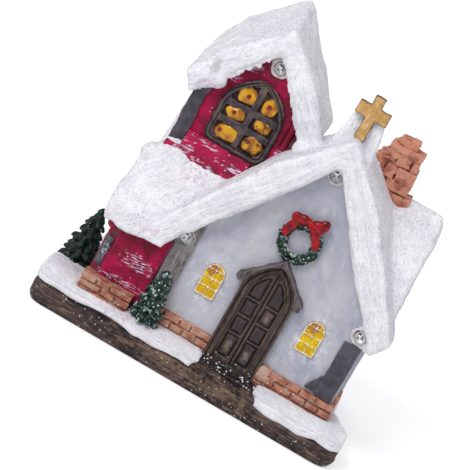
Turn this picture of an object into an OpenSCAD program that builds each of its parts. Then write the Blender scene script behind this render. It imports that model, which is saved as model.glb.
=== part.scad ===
// Painted ceramic Christmas village church on a snowy base, lit by four small lamps.
// The origin is the middle of the base's underside, +Z is up and the church door faces -Y.

/* [Base] */
// Width of the base slab
base_w = 80; // [78:0.5:96]
// Depth of the base slab
base_d = 48; // [47:0.5:60]
// Height of the base slab
base_h = 6.5; // [6:0.1:9]
// Radius of the slab's corners in plan
base_corner_r = 4; // [3:0.5:5]
// How far the foot and the top edge of the slab draw in
base_edge = 0.8; // [0.4:0.1:1.2]
// Depth of the snow on the slab
snow_t = 1.4; // [1:0.1:2.2]
// How far the snow left of the path hangs down over the slab's edge
snow_lip_left = 1; // [0.6:0.1:1.9]
// How far the snow right of the path hangs down over the slab's edge
snow_lip_right = 1.9; // [1:0.1:1.9]

/* [Main house] */
// Ground left free on the left of the main house
left_ground = 9.5; // [8.5:0.1:11]
// Ground left free on the right of the main house
right_ground = 5.8; // [5:0.1:7]
// Ground left free in front of the chapel
front_ground = 8; // [7.5:0.1:9]
// Ground left free behind the main house
back_ground = 4; // [3.5:0.1:5]
// Thickness of every cast wall
wall_t = 2.4; // [2:0.1:3]
// Height of the main ridge above the ground
ridge_h = 57.7; // [54:0.1:61]
// Distance from the ridge forward of the back wall
ridge_back = 12; // [11:0.5:13]
// Height of the eave's top edge above the ground
eave_h = 29.5; // [28:0.1:31]
// Thickness of the snowy main roof
roof_t = 3.3; // [2.6:0.1:4]
// How far the main roof passes the left wall
roof_over_left = 2.9; // [2:0.1:4]
// How far the main roof passes the right wall
roof_over_right = 1.3; // [1:0.1:2]
// How far the roofs pass the walls in front
eave_over = 2.5; // [2:0.1:3]
// How far the main roof passes the back wall
eave_over_back = 3; // [2:0.1:3.4]

/* [Chapel] */
// Width of the wing that stands left of the chapel front
wing_w = 14.1; // [13:0.1:16]
// How far the chapel front stands forward of the main house
chapel_proj = 6; // [5.5:0.1:6.5]
// Distance from the chapel's right side to the main house's right side
chapel_inset = 0.8; // [0.5:0.1:1.5]
// Height of the chapel's side walls above the ground
chapel_wall_h = 28.8; // [28:0.1:30]
// How far the gable's inner point stands above the main ridge
chapel_gable_rise = 4.2; // [3.5:0.1:6]
// Depth of the snow over the gable's point
chapel_snow_t = 7; // [5.5:0.1:8]
// How far the gable's snowy edge stands forward of the front wall
chapel_rake = 3.5; // [3:0.1:4]

/* [Tower] */
// Width of the tower
tower_w = 28.8; // [27:0.1:30]
// How far the tower's back stands in front of the main house's back
tower_back_in = 2; // [1.5:0.1:3]
// How far the tower gable's inner point stands above the main ridge
tower_gable_rise = 17.9; // [16.5:0.1:19]
// How far the tower's side walls stand above the main ridge
tower_wall_rise = 0.7; // [0:0.1:2]
// Depth of the snow over the tower gable's point
tower_snow_t = 5.8; // [5:0.1:7]
// How steeply the tower's ridge climbs to the back, in degrees
tower_tilt_deg = 5.6; // [4:0.1:6]

/* [Door and windows] */
// Width of the door frame
door_w = 13.2; // [12:0.1:14]
// Height of the door frame's point above the slab
door_h = 28.7; // [27:0.1:29]
// Width of the frame around the leaves
door_frame_t = 1.9; // [1.4:0.1:2.4]
// Width of a chapel window
window_w = 4.8; // [4:0.1:5.4]
// Height of a chapel window
window_h = 8.4; // [7:0.1:9]
// Width of the tower window's frame
tower_window_w = 15.6; // [14:0.1:16.5]
// Height of the tower window's frame
tower_window_h = 18.5; // [17:0.1:19.5]

/* [Ornaments] */
// Outer radius of the wreath
wreath_r = 4.9; // [4:0.1:5]
// Radius of the wreath's ring where it is thickest
wreath_tube_r = 1.25; // [1:0.05:1.4]
// Height of the left tree
tree_left_h = 14.5; // [12:0.1:16]
// Height of the tree beside the chapel
tree_centre_h = 13.6; // [12:0.1:15]
// Radius of the left tree's lowest boughs
tree_left_r = 4.1; // [3.5:0.1:4.2]
// Radius of the bush beside the chapel
tree_centre_r = 3.6; // [3:0.1:3.7]
// Height of the gold cross
cross_h = 10.7; // [9:0.1:12]
// Width across the arms of the gold cross
cross_w = 7.9; // [7:0.1:9]
// Thickness of the gold cross
cross_t = 1.4; // [1:0.1:2]

/* [Lamps and battery box] */
// Radius of a lamp's clear lens
lens_r = 1.45; // [1.4:0.05:1.5]
// Length of a lamp's lens in front of its flange
lens_len = 4.3; // [4:0.1:4.6]
// Width of the room for the switch and the board
board_room_w = 7.2; // [6.8:0.1:9]
// Depth of the battery box
box_d = 22; // [21:0.1:24]
// Diameter of a button cell
cell_d = 11.6; // [11.4:0.1:11.6]
// Thickness of a button cell
cell_t = 5.4; // [5.2:0.05:5.4]
// Travel of the on-off switch
switch_travel = 2; // [1.5:0.1:2]

/* [Hidden] */

// Fineness of every round form, and how far each cut runs past its face
$fn = 48;
cut = 1;

// Places of the main house, the chapel, the wing bay and the tower
main_left = -base_w / 2 + left_ground;
main_right = base_w / 2 - right_ground;
main_back = base_d / 2 - back_ground;
chapel_front = -base_d / 2 + front_ground;
main_front = chapel_front + chapel_proj;
main_d = main_back - main_front;
chapel_left = main_left + wing_w;
chapel_right = main_right - chapel_inset;
chapel_half = (chapel_right - chapel_left) / 2;
chapel_x = chapel_left + chapel_half;
bay_proj = 1;
bay_front = chapel_front - bay_proj;
bay_over = 0.5;
bay_left = main_left - bay_over;
bay_chamfer = 3;
bay_wall_t = 2;
tower_inset = 0.5;
tower_left = main_left + tower_inset;
tower_half = tower_w / 2;
tower_x = tower_left + tower_half;
tower_right = tower_left + tower_w;

// Main roof: an even slope both ways from the ridge, longer in front
roof_front = bay_front - eave_over;
roof_back = main_back + eave_over_back;
roof_left = main_left - roof_over_left;
roof_right = main_right + roof_over_right;
ridge_y = main_back - ridge_back;
tower_front_share = 0.4727;
tower_front = roof_front + (ridge_y - roof_front) * tower_front_share;
tower_back = main_back - tower_back_in;
tower_d = tower_back - tower_front;
tower_gable_h = ridge_h + tower_gable_rise;
tower_wall_h = ridge_h + tower_wall_rise;
chapel_gable_h = ridge_h + chapel_gable_rise;
main_slope = (ridge_h - eave_h) / (ridge_y - roof_front);
main_drop = roof_t * sqrt(1 + main_slope * main_slope);
right_eave_gap = 2.5;
right_eave_y = chapel_front + right_eave_gap;
function main_top(y) = ridge_h - abs(y - ridge_y) * main_slope;
function main_profile(front, back, drop, foot) = [[front, foot], [front, main_top(front) - drop],
    [ridge_y, ridge_h - drop], [back, main_top(back) - drop], [back, foot]];

// Snow heaped over the wing, up against the tower's front
heap_rise = 3;
heap_ahead = 2.5;
heap_share = 0.4;
heap_y = tower_front - heap_ahead;
heap_z = main_top(heap_y) + heap_rise;
heap_slope = (heap_z - main_top(roof_front)) / (heap_y - roof_front);
heap_right = tower_x + tower_half * heap_share;

// Chapel roof: a gable thickened by snow, hipped behind down to the main ridge
chapel_slope = (chapel_gable_h - chapel_wall_h) / chapel_half;
chapel_soffit = 1.3;
chapel_lip_w = 3.2;
chapel_lip_h = 4.6;
chapel_span = chapel_half + chapel_soffit;
chapel_corner_z = chapel_gable_h - chapel_span * chapel_slope;
chapel_top = chapel_gable_h + chapel_snow_t;
chapel_shoulder_share = 0.43;
chapel_bulge_share = 0.08;
chapel_end_x = chapel_span + chapel_lip_w;
chapel_end_z = chapel_corner_z + chapel_lip_h;
chapel_shoulder_x = chapel_end_x * chapel_shoulder_share;
chapel_shoulder_z = chapel_top - (chapel_top - chapel_end_z) * (chapel_shoulder_share - chapel_bulge_share);
chapel_ridge_len = 15.5;
rake_front = chapel_front - chapel_rake;
rake_back = main_front + bay_proj;
hip_front = rake_front + chapel_ridge_len;
attic_back = hip_front + main_slope;

// Tower roof: a gable of its own, whose ridge climbs to the back
tower_slope = (tower_gable_h - tower_wall_h) / tower_half;
tower_soffit = 0.6;
tower_lip_w = 2.1;
tower_lip_h = 4.3;
tower_rake = 3;
tower_over_back = 3;
tower_span = tower_half + tower_soffit;
tower_corner_z = tower_gable_h - tower_span * tower_slope;
tower_top = tower_gable_h + tower_snow_t;
tower_end_x = tower_span + tower_lip_w;
tower_end_z = tower_corner_z + tower_lip_h;
tower_shoulder_share = 0.66;
tower_bulge_share = 0.1;
tower_shoulder_x = tower_end_x * tower_shoulder_share;
tower_shoulder_z = tower_top - (tower_top - tower_end_z) * (tower_shoulder_share - tower_bulge_share);
tower_swing = 2.2;
tower_slim = 1.9;
tower_back_drop = 3;
tower_shoulder_drop = 0.8;
tower_left_swing = 1.1;
tower_rake_y = tower_front - tower_rake;
tower_roof_back = tower_back + tower_over_back;

// Battery box: a tray with a flange, set into a recess under the slab
box_side_gap = 5.8;
box_forward = 0.5;
box_y = (chapel_front + main_back) / 2 - box_forward;
box_fit = 0.2;
box_wall = 1.2;
box_recess = 0.8;
box_top_z = 15.5;
flange_w = 2;
flange_t = 1.2;
part_wall = 1;
pocket_w = 4.4;
cell_count = 3;
cell_play = 0.1;
cell_gap = 0.05;
plate_t = 0.3;
spring_len = 2.9;
stack_len = cell_count * cell_t + (cell_count - 1) * cell_gap;
bay_len = stack_len + spring_len + 2 * plate_t + 2 * cell_play;
box_w = 2 * box_wall + pocket_w + 2 * part_wall + bay_len + board_room_w;
box_x = main_right - wall_t - box_side_gap - box_w / 2;
box_left = box_x - box_w / 2;
box_right = box_x + box_w / 2;
box_front = box_y - box_d / 2;
box_back = box_y + box_d / 2;
flange_top = box_recess + flange_t;

// Lamps: where they stand, and how they are stepped behind their walls
bore_play = 0.15;
flange_r = 1.75;
lamp_flange_t = 1;
notch_play = 0.15;
lamp_seat_r = flange_r + notch_play;
lead_len = 1.2;
lead_w = 0.5;
lead_pitch = 2.54;
sleeve_r = 1.75;
sleeve_len = 1.2;
side_lamp_in = 2.2;
side_lamp_rise = 0.7;
side_lamp_z = chapel_wall_h + side_lamp_rise;
gable_lamp_drop = 2.5;
tower_lamp_x = 0.9;
tower_lamp_drop = 3.4;
led_gable_at = [chapel_x, chapel_front, chapel_gable_h - gable_lamp_drop];
led_left_at = [chapel_left + side_lamp_in, chapel_front, side_lamp_z];
led_right_at = [chapel_right - side_lamp_in, chapel_front, side_lamp_z];
led_tower_at = [tower_x + tower_lamp_x, tower_front, tower_gable_h - tower_lamp_drop];
lamps = [led_gable_at, led_left_at, led_right_at, led_tower_at];

// Prisms along X and Y from an outline in the plane across them
module prism_x(points, x0, x1) {
    translate([x0, 0, 0]) rotate([90, 0, 90]) linear_extrude(x1 - x0) polygon(points);
}

module prism_y(points, y0, y1) {
    translate([0, y1, 0]) rotate([90, 0, 0]) linear_extrude(y1 - y0) polygon(points);
}

// A block between two corners
module block(low, high) {
    translate(low) cube([for (i = [0:2]) high[i] - low[i]]);
}

// A round bar along Y
module bar_y(at, y0, y1, r) {
    translate([at[0], y1, at[2]]) rotate([90, 0, 0]) cylinder(h = y1 - y0, r = r);
}

// Half outlines of a gable, mirrored about x
function mirrored(x, half) = concat([for (p = half) [x + p[0], p[1]]],
    [for (i = [len(half) - 1:-1:0]) [x - half[i][0], half[i][1]]]);
function gable_outline(x, half, wall_z, apex_z, foot_z) =
    [[x - half, foot_z], [x + half, foot_z], [x + half, wall_z], [x, apex_z], [x - half, wall_z]];

// Everything below the main roof's snow, wider on the left where it covers the wing bay
module main_over(front = roof_front) {
    difference() {
        union() {
            prism_x(main_profile(front, roof_back, 0, 0), roof_left, roof_right);
            prism_x([[front, 0], [front, heap_z - (heap_y - front) * heap_slope], [heap_y, heap_z], [ridge_y, ridge_h],
                [ridge_y, 0]], main_left, heap_right);
        }
        block([chapel_x, roof_front - cut, -cut], [roof_right + cut, right_eave_y, ridge_h]);
        block([roof_left - cut, heap_y, -cut], [main_left, roof_back + cut, ridge_h + cut]);
    }
}

module main_under(x0, x1) {
    prism_x(main_profile(roof_front - cut, roof_back + cut, main_drop, -cut), x0, x1);
}

// Everything below the chapel's snow, down to the rake's lower corners
chapel_snow_right = [[chapel_span, chapel_corner_z], [chapel_end_x, chapel_end_z],
    [chapel_shoulder_x, chapel_shoulder_z], [0, chapel_top]];

module chapel_over(y0 = rake_front, y1 = ridge_y) {
    difference() {
        prism_y(mirrored(chapel_x, chapel_snow_right), y0, y1);
        prism_x([[hip_front, chapel_top], [ridge_y, ridge_h], [ridge_y + cut, ridge_h],
            [ridge_y + cut, chapel_top + cut], [hip_front, chapel_top + cut]],
            chapel_x - chapel_end_x - cut, chapel_x + chapel_end_x + cut);
    }
}

module chapel_under(half, y0, y1, foot_z = -cut) {
    prism_y(gable_outline(chapel_x, half, chapel_gable_h - half * chapel_slope, chapel_gable_h, foot_z), y0, y1);
}

// Turns the tower's roof forms about the front point of the rake
module tower_tilt() {
    translate([0, tower_rake_y, tower_top]) rotate([tower_tilt_deg, 0, 0])
        translate([0, -tower_rake_y, -tower_top]) children();
}

tower_snow_right = [[tower_span, tower_corner_z], [tower_end_x, tower_end_z],
    [tower_shoulder_x, tower_shoulder_z], [0, tower_top]];
tower_snow_back = [for (p = [[tower_span, tower_corner_z],
    [tower_end_x - tower_swing, tower_end_z - tower_back_drop],
    [tower_shoulder_x - tower_swing - tower_slim, tower_shoulder_z - tower_shoulder_drop],
    [-tower_swing, tower_top], [-tower_shoulder_x - tower_swing, tower_shoulder_z],
    [-tower_end_x - tower_left_swing, tower_end_z], [-tower_span, tower_corner_z]]) [tower_x + p[0], p[1]]];

module tower_over() {
    y_front = tower_rake_y - tower_rake;
    y_back = tower_roof_back + cut;
    tower_tilt() hull() {
        prism_y(mirrored(tower_x, tower_snow_right), y_front, y_front + tower_rake);
        prism_y(tower_snow_back, y_back - cut, y_back);
    }
}

module tower_under(half) {
    tower_tilt() prism_y(gable_outline(tower_x, half, tower_gable_h - half * tower_slope, tower_gable_h, 0),
        tower_rake_y - tower_rake - cut, tower_roof_back + cut + cut);
}

// Space around each lamp, its flange and its leads
module lamp_room() {
    for (at = lamps)
        bar_y(at, at[1] - lens_len, at[1] + wall_t + lamp_flange_t + lead_len + sleeve_len + cut, lamp_seat_r);
}

module lamp_bores() {
    for (at = lamps) {
        bar_y(at, at[1] - cut, at[1] + wall_t + cut, lens_r + bore_play);
        bar_y(at, at[1] + wall_t, at[1] + chapel_proj + cut, lamp_seat_r);
    }
}

// The gable's thin tip over its lamp is left off
module gable_tip() {
    block([led_gable_at[0] - lamp_seat_r, chapel_front - cut, led_gable_at[2]],
        [led_gable_at[0] + lamp_seat_r, main_front + cut, chapel_gable_h + cut]);
}

module tower_tip() {
    block([led_tower_at[0] - lamp_seat_r, tower_front - cut, led_tower_at[2]],
        [led_tower_at[0] + lamp_seat_r, tower_front + wall_t + cut, tower_gable_h + cut]);
}

// Base slab: a profile that runs round the four corners and along the sides
slab_edge_share = 0.22;
slab_shoulder_share = 0.7;
slab_profile = [[0, 0], [-base_edge, 0], [0, base_h * slab_edge_share], [0, base_h * slab_shoulder_share],
    [-base_edge, base_h * slab_shoulder_share + base_edge / 2], [-base_edge, base_h], [0, base_h]];
slab_edge = [for (i = [1:5]) slab_profile[i]];

module slab_bar(half, length) {
    points = concat([for (p = slab_edge) [half + p[0], p[1]]],
        [for (i = [len(slab_edge) - 1:-1:0]) [-half - slab_edge[i][0], slab_edge[i][1]]]);
    prism_y(points, -length / 2, length / 2);
}

// Behind its front corners the ground narrows to the house, more suddenly on the right
left_ledge = 4.5;
right_ledge = 0.9;
left_turn = 9;
right_turn = 9;
left_turn_in = 1;
right_turn_out = 1;
waist_left = main_left - left_ledge;
waist_right = main_right + right_ledge;
left_turn_y = [main_front + left_turn_in, main_front + left_turn_in + left_turn];
right_turn_y = [chapel_front - right_turn_out, chapel_front - right_turn_out + right_turn];

module side_cutaways() {
    linear_extrude(base_h + snow_t + 2 * cut) {
        polygon([[-base_w / 2 - cut, left_turn_y[0]], [-base_w / 2, left_turn_y[0]], [waist_left, left_turn_y[1]],
            [waist_left, base_d / 2 + cut], [-base_w / 2 - cut, base_d / 2 + cut]]);
        polygon([[base_w / 2 + cut, right_turn_y[0]], [base_w / 2, right_turn_y[0]], [waist_right, right_turn_y[1]],
            [waist_right, base_d / 2 + cut], [base_w / 2 + cut, base_d / 2 + cut]]);
    }
}

module slab_body() {
    corner_x = base_w / 2 - base_corner_r;
    corner_y = base_d / 2 - base_corner_r;
    difference() {
        union() {
            slab_bar(base_w / 2, base_d - 2 * base_corner_r);
            rotate([0, 0, 90]) slab_bar(base_d / 2, base_w - 2 * base_corner_r);
            for (sx = [-1, 1], sy = [-1, 1])
                translate([sx * corner_x, sy * corner_y, 0]) rotate_extrude()
                    polygon(concat([[0, 0]], [for (p = slab_edge) [base_corner_r + p[0], p[1]]], [[0, base_h]]));
        }
        translate([0, 0, -cut]) side_cutaways();
    }
}

module box_opening() {
    block([box_left - box_fit, box_front - box_fit, -cut], [box_right + box_fit, box_back + box_fit, base_h + cut]);
    block([box_left - flange_w - box_fit, box_front - flange_w - box_fit, -cut],
        [box_right + flange_w + box_fit, box_back + flange_w + box_fit, flange_top]);
}

module ground_slab() {
    color("#4a3a30") difference() {
        slab_body();
        box_opening();
    }
}

// Snow on the slab, cut where the house and its bricks stand
path_left_in = 6.5;
path_right_in = 7.9;
path_left_x = chapel_x - path_left_in;
path_right_x = chapel_x + path_right_in;
path_r = 3;
brick_t = 1.5;
planter_d = 3.5;
planter_gap = 1.8;
planter_right = chapel_left - planter_gap;
side_brick_h = 8;

module slab_outline_solid(x0, x1, y0, y1, lip) {
    intersection() {
        union() {
            corner_x = base_w / 2 - base_corner_r;
            corner_y = base_d / 2 - base_corner_r;
            snow_z = [base_h - lip, base_h + snow_t];
            block([-base_w / 2, -corner_y, snow_z[0]], [base_w / 2, corner_y, snow_z[1]]);
            block([-corner_x, -base_d / 2, snow_z[0]], [corner_x, base_d / 2, snow_z[1]]);
            for (sx = [-1, 1], sy = [-1, 1])
                translate([sx * corner_x, sy * corner_y, snow_z[0]])
                    cylinder(h = snow_z[1] - snow_z[0], r = base_corner_r);
        }
        block([x0, y0, 0], [x1, y1, base_h + snow_t + cut]);
    }
}

module house_footprint() {
    z0 = 0;
    z1 = base_h + snow_t + cut;
    block([main_left, main_front, z0], [main_right, main_back, z1]);
    block([chapel_left, chapel_front, z0], [chapel_right, main_front + cut, z1]);
    block([bay_left, bay_front, z0], [chapel_left + cut, main_front + cut, z1]);
    block([chapel_left, chapel_front - brick_t, z0], [chapel_right + brick_side_t, chapel_front + cut, z1]);
    block([bay_left, bay_front - planter_d, z0], [planter_right, bay_front + cut, z1]);
    block([chapel_right - cut, chapel_front, z0], [chapel_right + brick_side_t, main_front + cut, z1]);
}

module snow_patch(x0, x1, y0, y1, lip) {
    difference() {
        slab_outline_solid(x0, x1, y0, y1, lip);
        slab_body();
        side_cutaways();
        house_footprint();
        steps_shape();
    }
}

// The path to the door stays clear: the snow ends in a round bank on each side
module path_bank(x, side) {
    y = -base_d / 2 + path_r;
    bank_z = [0, base_h + snow_t + cut];
    difference() {
        block([min(x, x + side * path_r) - cut * (1 - side) / 2, -base_d / 2 - cut, bank_z[0]],
            [max(x, x + side * path_r) + cut * (1 + side) / 2, y, bank_z[1]]);
        translate([x, y, bank_z[0]]) cylinder(h = bank_z[1] - bank_z[0], r = path_r);
    }
}

module snow_left() {
    color("#f3f2f7") difference() {
        snow_patch(-base_w / 2, path_left_x, -base_d / 2, main_back, snow_lip_left);
        path_bank(path_left_x - path_r, 1);
    }
}

module snow_right() {
    color("#f3f2f7") difference() {
        snow_patch(path_right_x, base_w / 2, -base_d / 2, main_back, snow_lip_right);
        path_bank(path_right_x + path_r, -1);
    }
}

module snow_back() {
    color("#f3f2f7") snow_patch(-base_w / 2, base_w / 2, main_back, base_d / 2, snow_lip_left);
}

// Walls: each shell is open behind, so the lamps' wires reach the battery box
module main_walls() {
    color("#a9aebb") difference() {
        intersection() {
            block([main_left, main_front, base_h], [main_right, main_back, ridge_h]);
            main_under(roof_left, roof_right);
        }
        block([main_left + wall_t, main_front - cut, base_h - cut], [main_right - wall_t, main_back - wall_t, ridge_h]);
    }
}

module chapel_walls() {
    post = chapel_proj;
    color("#b3b7c3") difference() {
        chapel_under(chapel_half, chapel_front, main_front, base_h);
        difference() {
            prism_y(gable_outline(chapel_x, chapel_half - wall_t, chapel_gable_h - (chapel_half + wall_t) * chapel_slope,
                chapel_gable_h - 2 * wall_t * chapel_slope, base_h - cut), chapel_front + wall_t, main_front + cut);
            for (side = [-1, 1])
                block([chapel_x + side * (chapel_half - post / 2) - post / 2, chapel_front, base_h],
                    [chapel_x + side * (chapel_half - post / 2) + post / 2, main_front, chapel_gable_h]);
        }
        lamp_bores();
        gable_tip();
    }
}

bay_outline = [[bay_left, main_front], [bay_left, bay_front + bay_chamfer], [bay_left + bay_chamfer, bay_front],
    [chapel_left, bay_front], [chapel_left, main_front]];
bay_hollow = [[bay_left + bay_wall_t, main_front + cut], [bay_left + bay_wall_t, bay_front + bay_chamfer + bay_wall_t / 2],
    [bay_left + bay_chamfer + bay_wall_t / 2, bay_front + bay_wall_t], [chapel_left + cut, bay_front + bay_wall_t],
    [chapel_left + cut, main_front + cut]];

module wing_bay() {
    color("#8f1233") difference() {
        intersection() {
            translate([0, 0, base_h]) linear_extrude(ridge_h - base_h) polygon(bay_outline);
            main_under(roof_left, chapel_x);
        }
        translate([0, 0, base_h - cut]) linear_extrude(ridge_h) polygon(bay_hollow);
        chapel_over();
    }
}

module tower_box(inset, z0) {
    block([tower_left + inset, tower_front + inset, z0], [tower_right - inset, tower_back - inset, tower_top + tower_d]);
}

module tower_walls() {
    color("#98163a") difference() {
        intersection() {
            tower_box(0, 0);
            tower_under(tower_half + cut);
        }
        tower_box(wall_t, -cut);
        main_over();
        chapel_over();
        lamp_bores();
        tower_tip();
    }
}

// Roofs: thick snow, each cut where a higher one passes through it
module main_roof() {
    color("#eff0f6") difference() {
        main_over();
        main_under(roof_left - cut, roof_right + cut);
        chapel_under(chapel_half, chapel_front, attic_back);
        chapel_under(chapel_span, roof_front - cut, chapel_front);
        chapel_over(rake_front - cut, chapel_front);
        tower_box(wall_t, -2 * cut);
        for (at = [led_left_at, led_right_at])
            block([at[0] - lamp_seat_r, roof_front - cut, 0], [at[0] + lamp_seat_r, main_front, at[2] + lamp_seat_r]);
    }
}

module chapel_roof() {
    color("#f3f3f8") difference() {
        chapel_over();
        chapel_under(chapel_span + cut, rake_front - cut, attic_back);
        main_over(chapel_front);
        block([roof_right, rake_back, 0], [roof_right + chapel_end_x, roof_back, chapel_top]);
        lamp_room();
    }
}

module tower_roof() {
    color("#f3f3f8") difference() {
        tower_over();
        tower_under(tower_span + tower_lip_w + cut);
        block([tower_left - tower_w, tower_rake_y - tower_w, 0], [tower_right + tower_w, tower_rake_y, tower_top + tower_d]);
        block([tower_left - tower_w, tower_roof_back, 0], [tower_right + tower_w, tower_roof_back + tower_w, tower_top + tower_d]);
        chapel_over();
        lamp_room();
    }
}

// Chimney: a stepped brick stack astride the main ridge
chimney_in = 10.5;
chimney_ahead = 3;
chimney_x = chapel_x + chimney_in;
chimney_front = ridge_y - chimney_ahead;
chimney_d = 7.5;
stack_left = 6.1;
stack_right = 4.8;
stack_foot = 7;
stack_rise = 6.4;
stack_top_z = ridge_h + stack_rise;
stack_steps = [8.5, 5.9, 2.2];
stack_step_z = [for (down = stack_steps) stack_top_z - down];
cap_half = 4.5;
cap_h = 3.5;
cap_top_z = stack_top_z + cap_h;
cap_over = 0.5;
top_half = 2.5;
top_h = 2.3;
top_top_z = cap_top_z + top_h;
chimney_back = chimney_front + chimney_d;
stack_brick_share = 0.62;
joint_w = 0.35;
joint_depth = 0.3;

// Joint lines of a brick face that looks to -Y, cut from its plane inwards
module brick_joints(x0, x1, z0, z1, y, courses, length) {
    step = (z1 - z0) / courses;
    for (i = [1:courses - 1])
        block([x0 - cut, y - cut, z0 + i * step - joint_w / 2], [x1 + cut, y + joint_depth, z0 + i * step + joint_w / 2]);
    for (i = [0:courses - 1])
        for (x = [x0 + length * (i % 2 == 0 ? 1 : 0.5):length:x1 - joint_w])
            block([x - joint_w / 2, y - cut, z0 + i * step], [x + joint_w / 2, y + joint_depth, z0 + (i + 1) * step]);
}

module chimney_stack() {
    brick_l = stack_left * stack_brick_share;
    color("#b5705a") difference() {
        prism_y([[chimney_x - stack_left, 0], [chimney_x - stack_left, stack_step_z[2]],
            [chimney_x - cap_half, stack_top_z], [chimney_x + cap_half, stack_top_z],
            [chimney_x + stack_right, stack_step_z[1]], [chimney_x + stack_foot, stack_step_z[0]],
            [chimney_x + stack_foot, 0]], chimney_front, chimney_back);
        main_over();
        chapel_over();
        brick_joints(chimney_x - stack_left, chimney_x + stack_foot, main_top(chimney_front), stack_top_z,
            chimney_front, 4, brick_l);
    }
}

module chimney_cap() {
    color("#b5705a") difference() {
        block([chimney_x - cap_half, chimney_front - cap_over, stack_top_z],
            [chimney_x + cap_half, chimney_back + cap_over, cap_top_z]);
        brick_joints(chimney_x - cap_half, chimney_x + cap_half, stack_top_z, cap_top_z,
            chimney_front - cap_over, 2, cap_half);
    }
}

module chimney_top() {
    color("#b5705a") block([chimney_x - top_half, chimney_front + cap_over, cap_top_z],
        [chimney_x + top_half, chimney_back - cap_over, top_top_z]);
}

// Cross and the snowy block that carries it
ped_front_in = 1.2;
ped_d = 5.5;
ped_h = 5.1;
ped_top_z = chapel_top + ped_h;
ped_foot_half = 5.7;
ped_top_half = 3.7;
ped_y = chapel_front + ped_front_in;
cross_arm = 3;
cross_post_w = 2.4;
cross_arm_share = 0.63;

module cross_pedestal() {
    color("#eff0f6") difference() {
        prism_y([[chapel_x - ped_foot_half, chapel_gable_h], [chapel_x + ped_foot_half, chapel_gable_h],
            [chapel_x + ped_top_half, ped_top_z], [chapel_x - ped_top_half, ped_top_z]], ped_y, ped_y + ped_d);
        chapel_over();
    }
}

module cross() {
    arm_z = chapel_top + cross_h * cross_arm_share;
    color("#c79a4b") {
        block([chapel_x - cross_post_w / 2, ped_y - cross_t, chapel_top],
            [chapel_x + cross_post_w / 2, ped_y, chapel_top + cross_h]);
        block([chapel_x - cross_w / 2, ped_y - cross_t, arm_z - cross_arm / 2],
            [chapel_x + cross_w / 2, ped_y, arm_z + cross_arm / 2]);
    }
}

// Pointed arch in the X-Z plane, foot at z0, along Y
module pointed_arch(x, half, z0, spring_z, rise, y0, y1) {
    r = (half * half + rise * rise) / (2 * half);
    intersection() {
        bar_y([x + half - r, 0, spring_z], y0, y1, r);
        bar_y([x - half + r, 0, spring_z], y0, y1, r);
        block([x - half, y0, spring_z], [x + half, y1, spring_z + rise + cut]);
    }
    block([x - half, y0, z0], [x + half, y1, spring_z]);
}

// Door: two panelled leaves in a pointed frame, under a small hood
door_shift = 0.2;
door_x = chapel_x - door_shift;
door_foot_z = 7.9;
door_rise = 9.4;
door_proud = 1.3;
leaf_proud = 0.7;
leaf_gap = 0.25;
door_apex_z = base_h + door_h;
door_spring_z = door_apex_z - door_rise;
door_half = door_w / 2;
leaf_half = door_half - door_frame_t;
leaf_rise = door_rise - door_frame_t;

module door_frame() {
    color("#4b3529") difference() {
        pointed_arch(door_x, door_half, base_h, door_spring_z, door_rise, chapel_front - door_proud, chapel_front);
        pointed_arch(door_x, leaf_half, base_h - cut, door_spring_z, leaf_rise, chapel_front - door_proud - cut, chapel_front + cut);
    }
}

panel_depth = 0.3;
panel_line = 0.4;
panel_side = 0.8;
panel_shares = [[0.06, 0.26], [0.29, 0.46], [0.49, 0.65]];
panel_top_share = 0.68;
panel_point_share = 0.24;

// Grooves around one sunk panel of a leaf
module panel_groove(x0, x1, z0, z1) {
    front = chapel_front - leaf_proud;
    difference() {
        block([x0, front - cut, z0], [x1, front + panel_depth, z1]);
        block([x0 + panel_line, front - cut - cut, z0 + panel_line], [x1 - panel_line, front + cut, z1 - panel_line]);
    }
}

module door_leaf(side) {
    x0 = min(door_x + side * leaf_gap / 2, door_x + side * leaf_half);
    x1 = max(door_x + side * leaf_gap / 2, door_x + side * leaf_half);
    front = chapel_front - leaf_proud;
    leaf_h = door_spring_z + leaf_rise - door_foot_z;
    top_z = door_foot_z + leaf_h * panel_top_share;
    reach = leaf_half - 2 * panel_side;
    color("#3f2f27") difference() {
        intersection() {
            pointed_arch(door_x, leaf_half, door_foot_z, door_spring_z, leaf_rise, front, chapel_front);
            block([x0, front - cut, base_h], [x1, chapel_front, door_apex_z]);
        }
        for (s = panel_shares)
            panel_groove(x0 + panel_side, x1 - panel_side, door_foot_z + leaf_h * s[0], door_foot_z + leaf_h * s[1]);
        difference() {
            prism_y([[door_x + side * panel_side, top_z], [door_x + side * (panel_side + reach), top_z],
                [door_x + side * panel_side, top_z + leaf_h * panel_point_share]], front - cut, front + panel_depth);
            prism_y([[door_x + side * (panel_side + panel_line), top_z + panel_line],
                [door_x + side * (panel_side + reach - 2 * panel_line), top_z + panel_line],
                [door_x + side * (panel_side + panel_line), top_z + leaf_h * panel_point_share - 2 * panel_line]],
                front - cut - cut, front + cut);
        }
    }
}

module door_leaf_left() {
    door_leaf(-1);
}

module door_leaf_right() {
    door_leaf(1);
}

hood_half = 8.1;
hood_proud = 3;
hood_t = 1.7;
hood_drop = 7.6;
hood_lip = 1.7;

module door_hood() {
    hood_top = door_apex_z + hood_t;
    color("#4b3529") difference() {
        prism_y([[door_x - hood_half, hood_top - hood_drop - hood_lip], [door_x + hood_half, hood_top - hood_drop - hood_lip],
            [door_x + hood_half, hood_top - hood_drop], [door_x, hood_top], [door_x - hood_half, hood_top - hood_drop]],
            chapel_front - hood_proud, chapel_front);
        pointed_arch(door_x, door_half, base_h, door_spring_z, door_rise, chapel_front - hood_proud - cut, chapel_front + cut);
    }
}

step_d = [2.2, 5];
step_over = [0.6, 1.2];
step_low_t = 0.6;

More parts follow.
